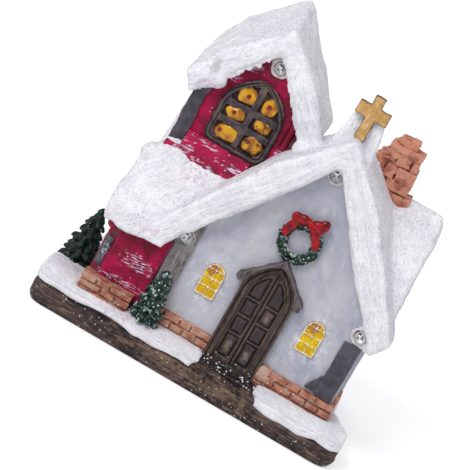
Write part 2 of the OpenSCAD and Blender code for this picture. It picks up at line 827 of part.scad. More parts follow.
// Two steps: the upper one carries the door, the lower one lies in the path
module steps_shape() {
    block([door_x - door_half - step_over[0], chapel_front - step_d[0], base_h],
        [door_x + door_half + step_over[0], chapel_front, door_foot_z]);
    block([door_x - door_half - step_over[1] + step_over[0], chapel_front - step_d[1], base_h],
        [door_x + door_half + step_over[1], chapel_front - step_d[0], base_h + step_low_t]);
}

module door_steps() {
    color("#463429") difference() {
        steps_shape();
        pointed_arch(door_x, door_half, base_h - cut, door_spring_z, door_rise, chapel_front - door_proud, chapel_front + cut);
    }
}

// Chapel windows: yellow panes with painted bars, arched at the top
window_z = 19.3;
window_share = 0.518;
window_in = chapel_half * window_share;
pane_proud = 0.4;
bar_proud = 0.3;
bar_w = 0.35;
bar_frame = 0.4;
window_spring = window_z + window_h - window_w / 2;
window_xs = [door_x - window_in, door_x + window_in + bay_over];
window_bar_shares = [0.3, 0.56, 0.82];

module window_arch(x, inset, y0, y1) {
    block([x - window_w / 2 + inset, y0, window_z + inset], [x + window_w / 2 - inset, y1, window_spring]);
    bar_y([x, 0, window_spring], y0, y1, window_w / 2 - inset);
}

module chapel_window_panes() {
    color("#e8b41d") for (x = window_xs)
        window_arch(x, 0, chapel_front - pane_proud, chapel_front);
}

module chapel_window_bars() {
    y1 = chapel_front - pane_proud;
    y0 = y1 - bar_proud;
    color("#f5f1e2") for (x = window_xs) {
        difference() {
            window_arch(x, 0, y0, y1);
            window_arch(x, bar_frame, y0 - cut, y1 + cut);
        }
        intersection() {
            window_arch(x, bar_frame / 2, y0, y1);
            union() {
                block([x - bar_w / 2, y0, window_z], [x + bar_w / 2, y1, window_z + window_h]);
                for (s = window_bar_shares)
                    block([x - window_w, y0, window_z + window_h * s - bar_w / 2],
                        [x + window_w, y1, window_z + window_h * s + bar_w / 2]);
            }
        }
    }
}

bay_window_w = 2.6;
bay_window_z = [13, 20.5];

module bay_window() {
    color("#8d93a6") translate([bay_left + bay_chamfer / 2, bay_front + bay_chamfer / 2, 0]) rotate([0, 0, -45])
        block([-bay_window_w / 2, -pane_proud, bay_window_z[0]], [bay_window_w / 2, 0, bay_window_z[1]]);
}

// Tower window: a thick arched frame with six amber panes
tower_window_drop = 8.2;
tower_window_z = ridge_h - tower_window_drop;
tower_frame_t = 1.5;
tower_mullion = 1.5;
tower_frame_proud = 0.9;
tower_pane_t = 0.7;
pane_fit = 0.05;
tower_window_foot_r = 2.4;
tower_window_rise = 9.4;
tower_window_top = tower_window_z + tower_window_h;
pane_row_shares = [[0.08, 0.29], [0.38, 0.52], [0.61, 0.93]];

module tower_window_arch(inset, y0, y1) {
    half = tower_window_w / 2 - inset;
    foot = tower_window_z + inset;
    r = tower_window_foot_r;
    pointed_arch(tower_x, half, foot + r, tower_window_top - tower_window_rise, tower_window_rise - inset, y0, y1);
    block([tower_x - half + r, y0, foot], [tower_x + half - r, y1, foot + r]);
    for (side = [-1, 1])
        bar_y([tower_x + side * (half - r), 0, foot + r], y0, y1, r);
}

module tower_panes(shrink, y0, y1) {
    intersection() {
        tower_window_arch(tower_frame_t + shrink, y0, y1);
        for (s = pane_row_shares, side = [-1, 1]) {
            inner = tower_x + side * (tower_mullion / 2 + shrink);
            outer = tower_x + side * tower_window_w / 2;
            block([min(inner, outer), y0, tower_window_z + tower_window_h * s[0] + shrink],
                [max(inner, outer), y1, tower_window_z + tower_window_h * s[1] - shrink]);
        }
    }
}

module tower_window_frame() {
    color("#453a35") difference() {
        tower_window_arch(0, tower_front - tower_frame_proud, tower_front);
        tower_panes(0, tower_front - tower_frame_proud - cut, tower_front + cut);
        chapel_over();
    }
}

module tower_window_panes() {
    color("#c9831a") difference() {
        tower_panes(pane_fit, tower_front - tower_pane_t, tower_front);
        chapel_over();
    }
}

sill_right_in = 5.3;
sill_d = 2.6;
sill_lean = 5.2;
pilaster_w = 3.4;
pilaster_foot_drop = 4.2;
pilaster_foot_z = tower_window_z - pilaster_foot_drop;

module tower_sill() {
    color("#98163a") difference() {
        prism_x([[tower_front, 0], [tower_front, tower_window_z], [tower_front - tower_frame_proud, tower_window_z],
            [tower_front - sill_d, tower_window_z - sill_lean], [tower_front - sill_d, 0]],
            tower_left, tower_x + sill_right_in);
        block([tower_left - cut, tower_front - sill_d - cut, pilaster_foot_z],
            [tower_left + pilaster_w, tower_front + cut, tower_window_z + cut]);
        main_over();
        chapel_over();
    }
}

pilaster_proud = 0.6;
pilaster_rise = 2.6;
pilaster_top_z = tower_wall_h + pilaster_rise;

module tower_pilasters() {
    color("#45434a") difference() {
        intersection() {
            for (x = [tower_left, tower_right - pilaster_w])
                block([x, tower_front - pilaster_proud, pilaster_foot_z],
                    [x + pilaster_w, tower_front, pilaster_top_z]);
            tower_under(tower_half);
        }
        main_over();
        chapel_over();
    }
}

// Wreath: a ring seated flat on the wall, with its bow on top
wreath_z = 42;
wreath_ring_r = wreath_r - wreath_tube_r;
wreath_sink = 0.35;
wreath_y = chapel_front - wreath_tube_r + wreath_sink;

module wreath_ring() {
    translate([chapel_x, wreath_y, wreath_z]) rotate([90, 0, 0]) rotate_extrude()
        translate([wreath_ring_r, 0]) circle(wreath_tube_r);
}

module wreath() {
    color("#1e4a2c") intersection() {
        wreath_ring();
        block([chapel_x - wreath_r - cut, wreath_y - wreath_tube_r - cut, wreath_z - wreath_r - cut],
            [chapel_x + wreath_r + cut, chapel_front, wreath_z + wreath_r + cut]);
    }
}

bow_w = 3.7;
bow_h = 2.6;
bow_waist = 0.8;
bow_knot_r = 1;
bow_t = 1.3;
bow_tail_w = 1.4;
bow_tail_h = 2.8;
bow_z = wreath_z + wreath_r + bow_waist / 2;
bow_back_y = wreath_y - wreath_tube_r / 2;

// Two ribbon loops that widen away from the knot and two short tails, laid over the ring
module wreath_bow() {
    color("#b3121f") difference() {
        union() {
            bar_y([chapel_x, 0, bow_z], bow_back_y - bow_t - bow_waist / 2, bow_back_y, bow_knot_r);
            for (side = [-1, 1]) {
                prism_y([[chapel_x, bow_z - bow_waist / 2], [chapel_x + side * bow_w, bow_z - bow_h / 2],
                    [chapel_x + side * bow_w, bow_z + bow_h / 2], [chapel_x, bow_z + bow_waist / 2]],
                    bow_back_y - bow_t, bow_back_y);
                prism_y([[chapel_x, bow_z], [chapel_x + side * bow_tail_w, bow_z - bow_tail_h],
                    [chapel_x + side * 2 * bow_tail_w, bow_z - bow_tail_h]], bow_back_y - bow_t, bow_back_y);
            }
        }
        wreath_ring();
    }
}

// Trees: tiers of boughs, each narrower than the one below
tree_tiers = 4;
tree_droop_share = 0.7;
tree_taper_share = 0.6;
bush_taper_share = 0.3;
tree_tier_share = 0.85;
tree_left_in = 4.9;
tree_left_back = 4;
tree_centre_in = 2.5;
tree_centre_out = 4;
tree_left_at = [-base_w / 2 + tree_left_in, main_front + tree_left_back];
tree_centre_at = [chapel_left + tree_centre_in, chapel_front - tree_centre_out];
snow_top_z = base_h + snow_t;

function tree_profile(h, r, taper) = concat([[0, 0]], [for (i = [0:tree_tiers - 1], k = [0, 1])
    [r * (1 - taper * i / (tree_tiers - 1)) * (k == 0 ? 1 : tree_droop_share),
        h * (i + tree_tier_share * k) / tree_tiers]], [[0, h]]);

module tree(at, h, r, taper) {
    color("#1d4630") translate([at[0], at[1], snow_top_z]) rotate_extrude() polygon(tree_profile(h, r, taper));
}

module tree_left() {
    tree(tree_left_at, tree_left_h, tree_left_r, tree_taper_share);
}

module tree_centre() {
    difference() {
        tree(tree_centre_at, tree_centre_h, tree_centre_r, bush_taper_share);
        block([chapel_left - tree_centre_r, chapel_front - brick_t, 0], [door_x, main_front, ridge_h]);
    }
}

// Brickwork: plinths along the walls and a planter under the bay
plinth_h = 5.8;
brick_l = 3.8;
brick_side_t = 0.9;
plinth_top_z = base_h + plinth_h;

module brick_strip(x0, x1) {
    color("#b5705a") difference() {
        block([x0, chapel_front - brick_t, base_h], [x1, chapel_front, plinth_top_z]);
        brick_joints(x0, x1, base_h, plinth_top_z, chapel_front - brick_t, 3, brick_l);
    }
}

module plinth_left() {
    difference() {
        brick_strip(chapel_left, door_x - door_half);
        steps_shape();
    }
}

module plinth_right() {
    difference() {
        brick_strip(door_x + door_half, chapel_right + brick_side_t);
        steps_shape();
    }
}

module plinth_side() {
    color("#b5705a")
        block([chapel_right, chapel_front, base_h], [chapel_right + brick_side_t, main_front, base_h + side_brick_h]);
}

planter_rim = 0.8;

module bay_planter() {
    front = bay_front - planter_d;
    color("#b5705a") difference() {
        prism_x([[front, base_h], [front, plinth_top_z - planter_rim], [bay_front, plinth_top_z], [bay_front, base_h]],
            bay_left, planter_right);
        brick_joints(bay_left, planter_right, base_h, plinth_top_z - planter_rim, front, 2, brick_l);
    }
}

pillar_w = 4.4;
pillar_proud = 1;
pillar_right_top = 27;
pillar_left_top = 34;
pillar_in = 0.5;
glue_t = 1.2;

module pillar(x, top_z) {
    difference() {
        intersection() {
            block([x, chapel_front - pillar_proud, plinth_top_z], [x + pillar_w, chapel_front, top_z]);
            chapel_under(chapel_half, chapel_front - pillar_proud - cut, chapel_front + cut);
        }
        for (at = [led_left_at, led_right_at])
            bar_y(at, chapel_front - pillar_proud - cut, chapel_front + cut, lamp_seat_r);
    }
}

module pillar_left() {
    color("#574338") pillar(chapel_left + pillar_in, pillar_left_top);
}

module pillar_right() {
    color("#4a474e") pillar(chapel_right - pillar_in - pillar_w, pillar_right_top);
}

// Lamps: clear lens on a flange, two leads and a sleeve where the wire is joined
module lamp(at) {
    back = at[1] + wall_t;
    color("#e9eef2") {
        bar_y(at, back - lens_len + lens_r, back, lens_r);
        translate([at[0], back - lens_len + lens_r, at[2]]) sphere(r = lens_r);
        bar_y(at, back, back + lamp_flange_t, flange_r);
    }
}

module led_tower() {
    lamp(led_tower_at);
}

module led_gable() {
    lamp(led_gable_at);
}

module led_left() {
    lamp(led_left_at);
}

module led_right() {
    lamp(led_right_at);
}

function lead_y(at) = at[1] + wall_t + lamp_flange_t;
function sleeve_y(at) = lead_y(at) + lead_len;
function wire_y(at) = sleeve_y(at) + sleeve_len;

module led_leads() {
    color("silver") for (at = lamps, side = [-1, 1])
        block([at[0] + side * lead_pitch / 2 - lead_w / 2, lead_y(at), at[2] - lead_w / 2],
            [at[0] + side * lead_pitch / 2 + lead_w / 2, sleeve_y(at), at[2] + lead_w / 2]);
}

module wire_sleeves() {
    color("#1c1c1e") for (at = lamps)
        bar_y(at, sleeve_y(at), wire_y(at), sleeve_r);
}

module lamp_glue() {
    color("#dfe3e6") for (at = lamps) difference() {
        bar_y(at, at[1] - glue_t, at[1], lamp_seat_r - pane_fit);
        bar_y(at, at[1] - glue_t - cut, at[1] + cut, lens_r + pane_fit);
    }
}

// A tube swept along a smooth curve through hand-chosen points
wire_r = 0.5;
wire_sides = 8;
wire_steps = 4;
function unit(v) = v / norm(v);
function spline(a, b, c, d, t) = ((2 * b) + (c - a) * t + (2 * a - 5 * b + 4 * c - d) * t * t
    + (3 * b - a - 3 * c + d) * t * t * t) / 2;
function smooth_path(p) = concat([for (i = [0:len(p) - 2], k = [0:wire_steps - 1])
    spline(p[max(i - 1, 0)], p[i], p[i + 1], p[min(i + 2, len(p) - 1)], k / wire_steps)], [p[len(p) - 1]]);
function tangent(path, i) = unit(path[min(i + 1, len(path) - 1)] - path[max(i - 1, 0)]);
function ring(centre, along, side, r, sides) = let (u = unit(cross(along, side)), v = cross(along, u))
    [for (k = [0:sides - 1]) centre + r * (cos(360 * k / sides) * u + sin(360 * k / sides) * v)];

module sweep(path, r, sides, side) {
    n = len(path);
    points = [for (i = [0:n - 1]) each ring(path[i], tangent(path, i), side, r, sides)];
    walls = [for (i = [0:n - 2], k = [0:sides - 1], half = [0, 1])
        let (a = i * sides + k, b = i * sides + (k + 1) % sides)
            half == 0 ? [a, b + sides, b] : [a, a + sides, b + sides]];
    start = [for (k = [1:sides - 2]) [0, k, k + 1]];
    last = (n - 1) * sides;
    end = [for (k = [1:sides - 2]) [last, last + k + 1, last + k]];
    polyhedron(points, concat(walls, start, end));
}

// Each wire leaves its sleeve straight back, then falls through the battery box's lid to the board
wire_out = 1;
wire_starts = [0, 1, 2];
wire_drop_in = 5;
wire_drop_pitch = 2;
wire_drop_y = [for (i = [0:len(lamps) - 1]) box_y + (i - len(lamps) / 2) * wire_drop_pitch];
wire_drop_x = box_right - wire_drop_in;
function wire_end(at) = [at[0], wire_y(at) + wire_out * max(wire_starts), at[2]];
function wire_drop(i) = [wire_drop_x, wire_drop_y[i], box_top_z + wire_out];
function along_shares(a, b, shares) = [for (s = shares) [for (k = [0:2]) a[k] + (b[k] - a[k]) * s[k]]];
function wire_route(at, shares, i) = concat(
    [for (k = wire_starts) [at[0], wire_y(at) + k * wire_out, at[2]]],
    along_shares(wire_end(at), wire_drop(i), shares), [wire_drop(i)],
    [for (z = [box_top_z, (box_top_z + board_top_z) / 2, board_top_z]) [wire_drop_x, wire_drop_y[i], z]]);
wire_gable_shares = [[0.16, 0.3, 0.22], [0.36, 0.45, 0.55], [0.76, 0.8, 0.83]];
wire_left_shares = [[0.09, 0.42, 0.19], [0.4, 0.81, 0.58], [0.75, 0.94, 0.77]];
wire_right_shares = [[0.17, 0.38, 0.15], [0.51, 0.85, 0.5]];
wire_tower_shares = [[-0.01, 0.77, 0.15], [0.02, 1.23, 0.4], [0.24, 1.68, 0.65], [0.58, 1.68, 0.85], [0.86, 1.23, 0.92]];

module wire(at, shares, i) {
    color("#a02020") sweep(smooth_path(wire_route(at, shares, i)), wire_r, wire_sides, [1, 0.35, 0.2]);
}

module wire_gable() {
    wire(led_gable_at, wire_gable_shares, 0);
}

module wire_left() {
    wire(led_left_at, wire_left_shares, 1);
}

module wire_right() {
    wire(led_right_at, wire_right_shares, 2);
}

module wire_tower() {
    wire(led_tower_at, wire_tower_shares, 3);
}

// Battery box layout along X: screw pocket, battery bay, then the board's room
cell_rim = 0.6;
door_play = 0.1;
door_t = flange_t;
bay_x0 = box_left + box_wall + pocket_w + part_wall;
bay_x1 = bay_x0 + bay_len;
bay_half_y = cell_d / 2 + 2 * cell_play;
room_x0 = bay_x1 + part_wall;
room_x1 = box_right - box_wall;
cell_z = flange_top + cell_play + cell_d / 2;
spring_x0 = bay_x0 + plate_t;
cell_x0 = spring_x0 + spring_len + cell_play;
door_x0 = box_left + box_wall;
door_x1 = bay_x1 + part_wall / 2;
screw_x = box_left + box_wall + pocket_w / 2;
screw_bore_r = 0.95;
screw_r = 0.9;
screw_head_r = 1.7;
screw_head_t = 0.6;
screw_len = 6;
screw_play = 0.05;
driver_w = 0.5;
driver_l = 2;
driver_depth = 0.3;
knob_w = 1.6;
knob_l = 2.2;
slot_play = 0.1;
switch_w = 3.6;
switch_l = 8.6;
switch_h = 3.5;
switch_x = (room_x0 + room_x1) / 2;
switch_gap = 0.1;
box_lid = 1.2;
wire_hole_r = 0.7;
side_pocket_d = box_d / 2 - box_wall - bay_half_y - part_wall;

module battery_housing() {
    color("#2b2b2e") difference() {
        union() {
            block([box_left, box_front, box_recess], [box_right, box_back, box_top_z]);
            block([box_left - flange_w, box_front - flange_w, box_recess], [box_right + flange_w, box_back + flange_w, flange_top]);
        }
        block([bay_x0, box_y - bay_half_y, box_recess - cut], [bay_x1, box_y + bay_half_y, box_top_z - box_lid]);
        block([room_x0, box_front + box_wall, flange_top], [room_x1, box_back - box_wall, box_top_z - box_lid]);
        for (y = [box_front + box_wall, box_y + bay_half_y + part_wall])
            block([bay_x0, y, flange_top + part_wall], [bay_x1, y + side_pocket_d, box_top_z + cut]);
        block([door_x0 - door_play, box_y - bay_half_y - part_wall, box_recess - cut],
            [door_x1 + door_play, box_y + bay_half_y + part_wall, flange_top]);
        translate([screw_x, box_y, flange_top - cut]) cylinder(h = screw_len + cut, r = screw_bore_r);
        block([switch_x - knob_w / 2 - slot_play, box_y - knob_l / 2 - switch_travel / 2 - slot_play, box_recess - cut],
            [switch_x + knob_w / 2 + slot_play, box_y + knob_l / 2 + switch_travel / 2 + slot_play, flange_top + cut]);
        for (y = wire_drop_y)
            translate([wire_drop_x, y, box_top_z - box_lid - cut]) cylinder(h = box_lid + 2 * cut, r = wire_hole_r);
    }
}

module battery_door() {
    half_y = bay_half_y + part_wall - door_play;
    color("#2b2b2e") difference() {
        block([door_x0, box_y - half_y, box_recess], [door_x1, box_y + half_y, flange_top]);
        translate([screw_x, box_y, box_recess - cut]) cylinder(h = door_t + 2 * cut, r = screw_r + screw_play);
        translate([screw_x, box_y, box_recess - cut]) cylinder(h = cut + screw_head_t, r = screw_head_r + screw_play);
    }
}

module door_screw() {
    color("silver") translate([screw_x, box_y, 0]) difference() {
        union() {
            translate([0, 0, box_recess]) cylinder(h = screw_head_t - screw_play, r = screw_head_r);
            translate([0, 0, box_recess]) cylinder(h = screw_len, r = screw_r);
        }
        for (turn = [0, 90]) rotate([0, 0, turn])
            block([-driver_l / 2, -driver_w / 2, box_recess - cut], [driver_l / 2, driver_w / 2, box_recess + driver_depth]);
    }
}

module button_cells() {
    color("silver") for (i = [0:cell_count - 1])
        translate([cell_x0 + i * (cell_t + cell_gap), box_y, cell_z]) rotate([0, 90, 0]) {
            cylinder(h = cell_t - cell_rim, r = cell_d / 2);
            translate([0, 0, cell_t - cell_rim]) cylinder(h = cell_rim, r = cell_d / 2 - 2 * cell_rim);
        }
}

// Contact spring: one wire that winds from the plate to the first cell
spring_r = 3.4;
spring_wire_r = 0.25;
spring_turns = 3;
spring_rings = 8;
spring_count = spring_turns * spring_rings;
spring_reach = spring_len - 2 * spring_wire_r;
spring_path = [for (i = [0:spring_count]) [spring_x0 + spring_wire_r + spring_reach * i / spring_count,
    box_y + spring_r * cos(360 * i / spring_rings), cell_z + spring_r * sin(360 * i / spring_rings)]];
spring_gap = min([for (i = [0:spring_count - spring_rings]) norm(spring_path[i + spring_rings] - spring_path[i])])
    - 2 * spring_wire_r;
echo(spring_gap = spring_gap);

module contact_spring() {
    color("silver") sweep(spring_path, spring_wire_r, 6, [1, 0, 0]);
}

module contact_plates() {
    plate_half = 4.2;
    color("silver") for (x = [bay_x0, bay_x1 - plate_t])
        block([x, box_y - plate_half, cell_z - plate_half], [x + plate_t, box_y + plate_half, box_top_z - box_lid]);
}

board_t = 1;
board_gap = 0.4;
board_z = flange_top + switch_h;
board_top_z = board_z + board_t;
resistor_l = 3.2;
resistor_r = 0.9;
resistor_y = box_y - (switch_l / 2 + box_d / 2 - box_wall) / 2;

module circuit_board() {
    color("#1f5a3a") block([room_x0 + board_gap, box_front + box_wall + board_gap, board_z],
        [room_x1 - board_gap, box_back - box_wall - board_gap, board_top_z]);
}

module resistor() {
    color("#c9b48a") translate([switch_x, resistor_y, board_top_z + resistor_r]) rotate([90, 0, 0])
        cylinder(h = resistor_l, r = resistor_r, center = true);
}

module switch_body() {
    color("silver") difference() {
        block([switch_x - switch_w / 2, box_y - switch_l / 2, flange_top], [switch_x + switch_w / 2, box_y + switch_l / 2, board_z]);
        block([switch_x - knob_w / 2 - slot_play, box_y - knob_l / 2 - switch_travel / 2 - slot_play, flange_top - cut],
            [switch_x + knob_w / 2 + slot_play, box_y + knob_l / 2 + switch_travel / 2 + slot_play, flange_top + switch_h / 2]);
    }
}

module switch_knob() {
    color("#1c1c1e") block([switch_x - knob_w / 2, box_y - knob_l / 2 - switch_travel / 2, box_recess / 2],
        [switch_x + knob_w / 2, box_y + knob_l / 2 - switch_travel / 2, flange_top + switch_h / 2 - switch_gap]);
}

ground_slab();
snow_left();
snow_right();
snow_back();
main_walls();
chapel_walls();
wing_bay();
tower_walls();
main_roof();
chapel_roof();
tower_roof();
chimney_stack();
chimney_cap();
chimney_top();
cross_pedestal();
cross();
door_frame();
door_leaf_left();
door_leaf_right();
door_hood();
door_steps();
chapel_window_panes();
chapel_window_bars();
bay_window();
tower_window_frame();
tower_window_panes();
tower_sill();
tower_pilasters();
wreath();
wreath_bow();
tree_left();
tree_centre();
plinth_left();
plinth_right();
plinth_side();
bay_planter();
pillar_left();
pillar_right();
led_tower();
led_gable();
led_left();
led_right();
led_leads();
wire_sleeves();
wire_tower();
wire_gable();
wire_left();
wire_right();
lamp_glue();
battery_housing();
battery_door();
door_screw();
button_cells();
contact_spring();
contact_plates();
circuit_board();
resistor();
switch_body();
switch_knob();
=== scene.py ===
import math

import bmesh
import bpy
import numpy as np
from mathutils import Matrix, Vector


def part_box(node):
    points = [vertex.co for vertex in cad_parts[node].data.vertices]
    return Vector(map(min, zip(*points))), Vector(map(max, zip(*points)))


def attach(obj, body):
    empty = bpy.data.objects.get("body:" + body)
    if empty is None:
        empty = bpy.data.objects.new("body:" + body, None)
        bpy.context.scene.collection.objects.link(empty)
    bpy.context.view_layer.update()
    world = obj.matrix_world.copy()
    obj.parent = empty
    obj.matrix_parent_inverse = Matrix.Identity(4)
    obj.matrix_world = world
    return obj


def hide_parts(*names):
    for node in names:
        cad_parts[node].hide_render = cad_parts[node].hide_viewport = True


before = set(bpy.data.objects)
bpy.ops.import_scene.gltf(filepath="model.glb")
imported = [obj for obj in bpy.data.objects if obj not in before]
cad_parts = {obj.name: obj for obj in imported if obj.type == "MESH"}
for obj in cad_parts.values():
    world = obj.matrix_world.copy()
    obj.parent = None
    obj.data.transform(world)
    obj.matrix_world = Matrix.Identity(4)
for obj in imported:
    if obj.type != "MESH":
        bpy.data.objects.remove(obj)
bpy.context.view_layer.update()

# The camera stands in front of the chapel, a little to its right and above it,
# and is rolled, so that the house leans to the right as it does in the photograph.
mm = 0.001
eye = Vector((14.6, -464.6, 164.3)) * mm
aim = Vector((-5.53, -3.68, 32.02)) * mm
roll = math.radians(29.34)
camera = bpy.data.objects.new("camera", bpy.data.cameras.new("camera"))
camera.data.sensor_width = 36
camera.data.lens = 157.9
camera.data.clip_start = 0.02
camera.data.clip_end = 20
camera.matrix_world = (
    Matrix.Translation(eye)
    @ (aim - eye).to_track_quat("-Z", "Y").to_matrix().to_4x4()
    @ Matrix.Rotation(roll, 4, "Z")
)
collection = bpy.context.scene.collection
collection.objects.link(camera)
bpy.context.scene.camera = camera
bpy.context.scene.view_settings.view_transform = "Standard"

# The floor is a plain white studio table. The camera sees it a little lighter than it is,
# so that it runs into the white background and still carries the house's soft shadow. From
# beneath it is clear, so that the battery bay can be seen.


def add(tree, kind, sockets=None, **settings):
    """One shader node with its settings, and with its sockets set or joined to other nodes."""
    made = tree.nodes.new("ShaderNode" + kind)
    for key, value in settings.items():
        setattr(made, key, value)
    for key, value in (sockets or {}).items():
        if isinstance(value, bpy.types.NodeSocket):
            tree.links.new(value, made.inputs[key])
        else:
            made.inputs[key].default_value = value
    return made


floor_half = 3.0
floor_mesh = bmesh.new()
bmesh.ops.create_grid(floor_mesh, x_segments=8, y_segments=8, size=floor_half)
floor_data = bpy.data.meshes.new("floor")
floor_mesh.to_mesh(floor_data)
floor = bpy.data.objects.new("floor", floor_data)
collection.objects.link(floor)
floor_paint = bpy.data.materials.new("floor_white")
floor_paint.use_nodes = True
tree = floor_paint.node_tree
tree.nodes.clear()
path = add(tree, "LightPath")
seen = path.outputs["Is Camera Ray"]
for ray in ("Is Glossy Ray", "Is Transmission Ray"):
    seen = add(tree, "Math", {0: seen, 1: path.outputs[ray]}, operation="MAXIMUM").outputs[0]
matt = add(tree, "BsdfDiffuse", {"Color": (0.82, 0.82, 0.83, 1)})
glow = add(tree, "Emission", {"Color": (1, 1, 1, 1), "Strength": 0.42})
both = add(tree, "AddShader", {0: matt.outputs[0], 1: glow.outputs[0]})
pick = add(tree, "MixShader", {0: seen, 1: matt.outputs[0], 2: both.outputs[0]})
clear = add(tree, "BsdfTransparent")
beneath = add(tree, "NewGeometry").outputs["Backfacing"]
pick = add(tree, "MixShader", {0: beneath, 1: pick.outputs[0], 2: clear.outputs[0]})
add(tree, "OutputMaterial", {"Surface": pick.outputs[0]})
floor_data.materials.append(floor_paint)

# Studio light: a wide white room, one large soft lamp high on the left in front of the house
# and a weaker one on the right, so that the forms show without hard shadows.
room = bpy.data.worlds.new("room")
bpy.context.scene.world = room
room.use_nodes = True
tree = room.node_tree
tree.nodes.clear()
path = add(tree, "LightPath")
lit = add(tree, "Background", {"Color": (0.97, 0.98, 1, 1), "Strength": 0.66})
white = add(tree, "Background", {"Color": (1, 1, 1, 1), "Strength": 1})
pick = add(tree, "MixShader", {0: path.outputs["Is Camera Ray"], 1: lit.outputs[0], 2: white.outputs[0]})
add(tree, "OutputWorld", {"Surface": pick.outputs[0]})


def soft_lamp(name, place, size, power):
    """A square lamp that points at the middle of the house."""
    lamp = bpy.data.objects.new(name, bpy.data.lights.new(name, "AREA"))
    lamp.data.size = size
    lamp.data.energy = power
    lamp.location = place
    lamp.rotation_mode = "QUATERNION"
    lamp.rotation_quaternion = (aim - Vector(place)).to_track_quat("-Z", "Y")
    collection.objects.link(lamp)


soft_lamp("key_lamp", (-0.55, -0.75, 0.95), 0.5, 7.5)
soft_lamp("fill_lamp", (0.9, -0.6, 0.5), 0.6, 1.2)

# Ground slab: the thick base that the whole house is cast on. It is poured in a mould, so its
# sides are uneven, and it is painted dark umber with tan streaks and a dusting of pale specks.


def skin_of(piece):
    """A piece's points, one row each, and the direction that the surface faces at each."""
    count = 3 * len(piece.data.vertices)
    points, facing = np.empty(count), np.empty(count, np.float32)
    piece.data.vertices.foreach_get("co", points)
    piece.data.vertex_normals.foreach_get("vector", facing)
    return points.reshape(-1, 3), facing.reshape(-1, 3).astype(float)


def lumps(points, size, seed):
    """Smooth hills and hollows from -1 to 1, about that many millimetres wide along each axis."""
    spread = points / np.asarray(size, float) + seed * 7.31
    cell = np.floor(spread).astype(np.int64)
    part = spread - cell
    part = part * part * (3 - 2 * part)
    total = np.zeros(len(points))
    for corner in range(8):
        step = np.array([corner & 1, corner >> 1 & 1, corner >> 2 & 1])
        key = (cell + step) @ np.array([73856093, 19349663, 83492791]) + seed * 40503
        key = (key ^ (key >> 13)) * 1274126177 & 0xFFFFFFFF
        key = (key ^ (key >> 15)) * 2246822519 & 0xFFFFFFFF
        weight = np.prod(np.where(step == 1, part, 1 - part), axis=1)
        total += weight * ((key >> 8 & 0xFFFF) / 32767.5 - 1)
    return total


def new_piece(name, form):
    """A new object in millimetres from a bmesh."""
    data = bpy.data.meshes.new(name)
    form.to_mesh(data)
    form.free()
    piece = bpy.data.objects.new(name, data)
    collection.objects.link(piece)
    return piece


def lump_into(form, place, radii, turn=0.0):
    """Adds one closed lump to a bmesh, turned about the Y axis in degrees or by a whole matrix."""
    if not isinstance(turn, Matrix):
        turn = Matrix.Rotation(math.radians(turn), 4, "Y")
    here = Matrix.Translation(place) @ turn @ Matrix.Diagonal((*radii, 1))
    bmesh.ops.create_icosphere(form, subdivisions=2, radius=1, matrix=here)


def block_into(form, low, high):
    """Adds one closed block between two corners to a bmesh."""
    low, high = Vector(low), Vector(high)
    here = Matrix.Translation((low + high) / 2) @ Matrix.Diagonal((*(high - low), 1))
    bmesh.ops.create_cube(form, size=1, matrix=here)


def move_points(piece, points):
    """Gives a piece's mesh these points."""
    piece.data.vertices.foreach_set("co", points.astype(np.float32).ravel())
    piece.data.update()


def roughen(piece, *layers):
    """Pushes the skin out and in by layers of hills: (depth, size, seed)."""
    points, facing = skin_of(piece)
    push = sum(depth * lumps(points, size, seed) for depth, size, seed in layers)
    move_points(piece, points + facing * push[:, None])


def cast_form(name, form, cell, soften, *rough):
    """Closed forms run together into one cast skin of that cell size, eased at its corners by
    soften steps and roughened by layers of hills."""
    piece = new_piece(name, form)
    skin = piece.modifiers.new("skin", "REMESH")
    skin.mode = "VOXEL"
    skin.voxel_size = cell
    if soften:
        ease = piece.modifiers.new("ease", "SMOOTH")
        ease.factor = 0.5
        ease.iterations = soften
    shown = piece.evaluated_get(bpy.context.evaluated_depsgraph_get())
    data = bpy.data.meshes.new_from_object(shown)
    piece.modifiers.clear()
    piece.data = data
    if rough:
        roughen(piece, *rough)
    return piece


def casting(name, nodes, cell, soften, *rough, lumps_too=(), blocks_too=()):
    """Copies of CAD solids, with extra lumps and blocks, cast as one skin in millimetres."""
    form = bmesh.new()
    for node in nodes:
        form.from_mesh(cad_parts[node].data)
    bmesh.ops.scale(form, vec=(1 / mm,) * 3, verts=form.verts)
    for lump in lumps_too:
        lump_into(form, *lump)
    for low, high in blocks_too:
        block_into(form, low, high)
    return cast_form(name, form, cell, soften, *rough)


def fit(piece, paint, slot, *nodes):
    """Brings a piece from millimetres to metres, paints it and puts it in place of its CAD nodes."""
    piece.data.transform(Matrix.Scale(mm, 4))
    piece.data.shade_smooth()
    piece.data.materials.clear()
    piece.data.materials.append(paint)
    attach(piece, "house")
    if nodes:
        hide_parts(*nodes)


def effect(name, inputs, outputs):
    """An empty shader group with inputs {name: value} and outputs {name: kind}."""
    group = bpy.data.node_groups.new(name, "ShaderNodeTree")
    for label, value in inputs.items():
        kind = "NodeSocketVector" if isinstance(value, tuple) else "NodeSocketFloat"
        socket = group.interface.new_socket(label, in_out="INPUT", socket_type=kind)
        socket.default_value = value
    for label in outputs:
        group.interface.new_socket(label, in_out="OUTPUT", socket_type="NodeSocketFloat")
    ends = group.nodes.new("NodeGroupInput").outputs, group.nodes.new("NodeGroupOutput").inputs
    return group, *ends


def use(tree, group, **values):
    """Places a shader group in a material with its own values, and returns its outputs."""
    made = tree.nodes.new("ShaderNodeGroup")
    made.node_tree = group
    for label, value in values.items():
        made.inputs[label.replace("_", " ")].default_value = value
    return made.outputs


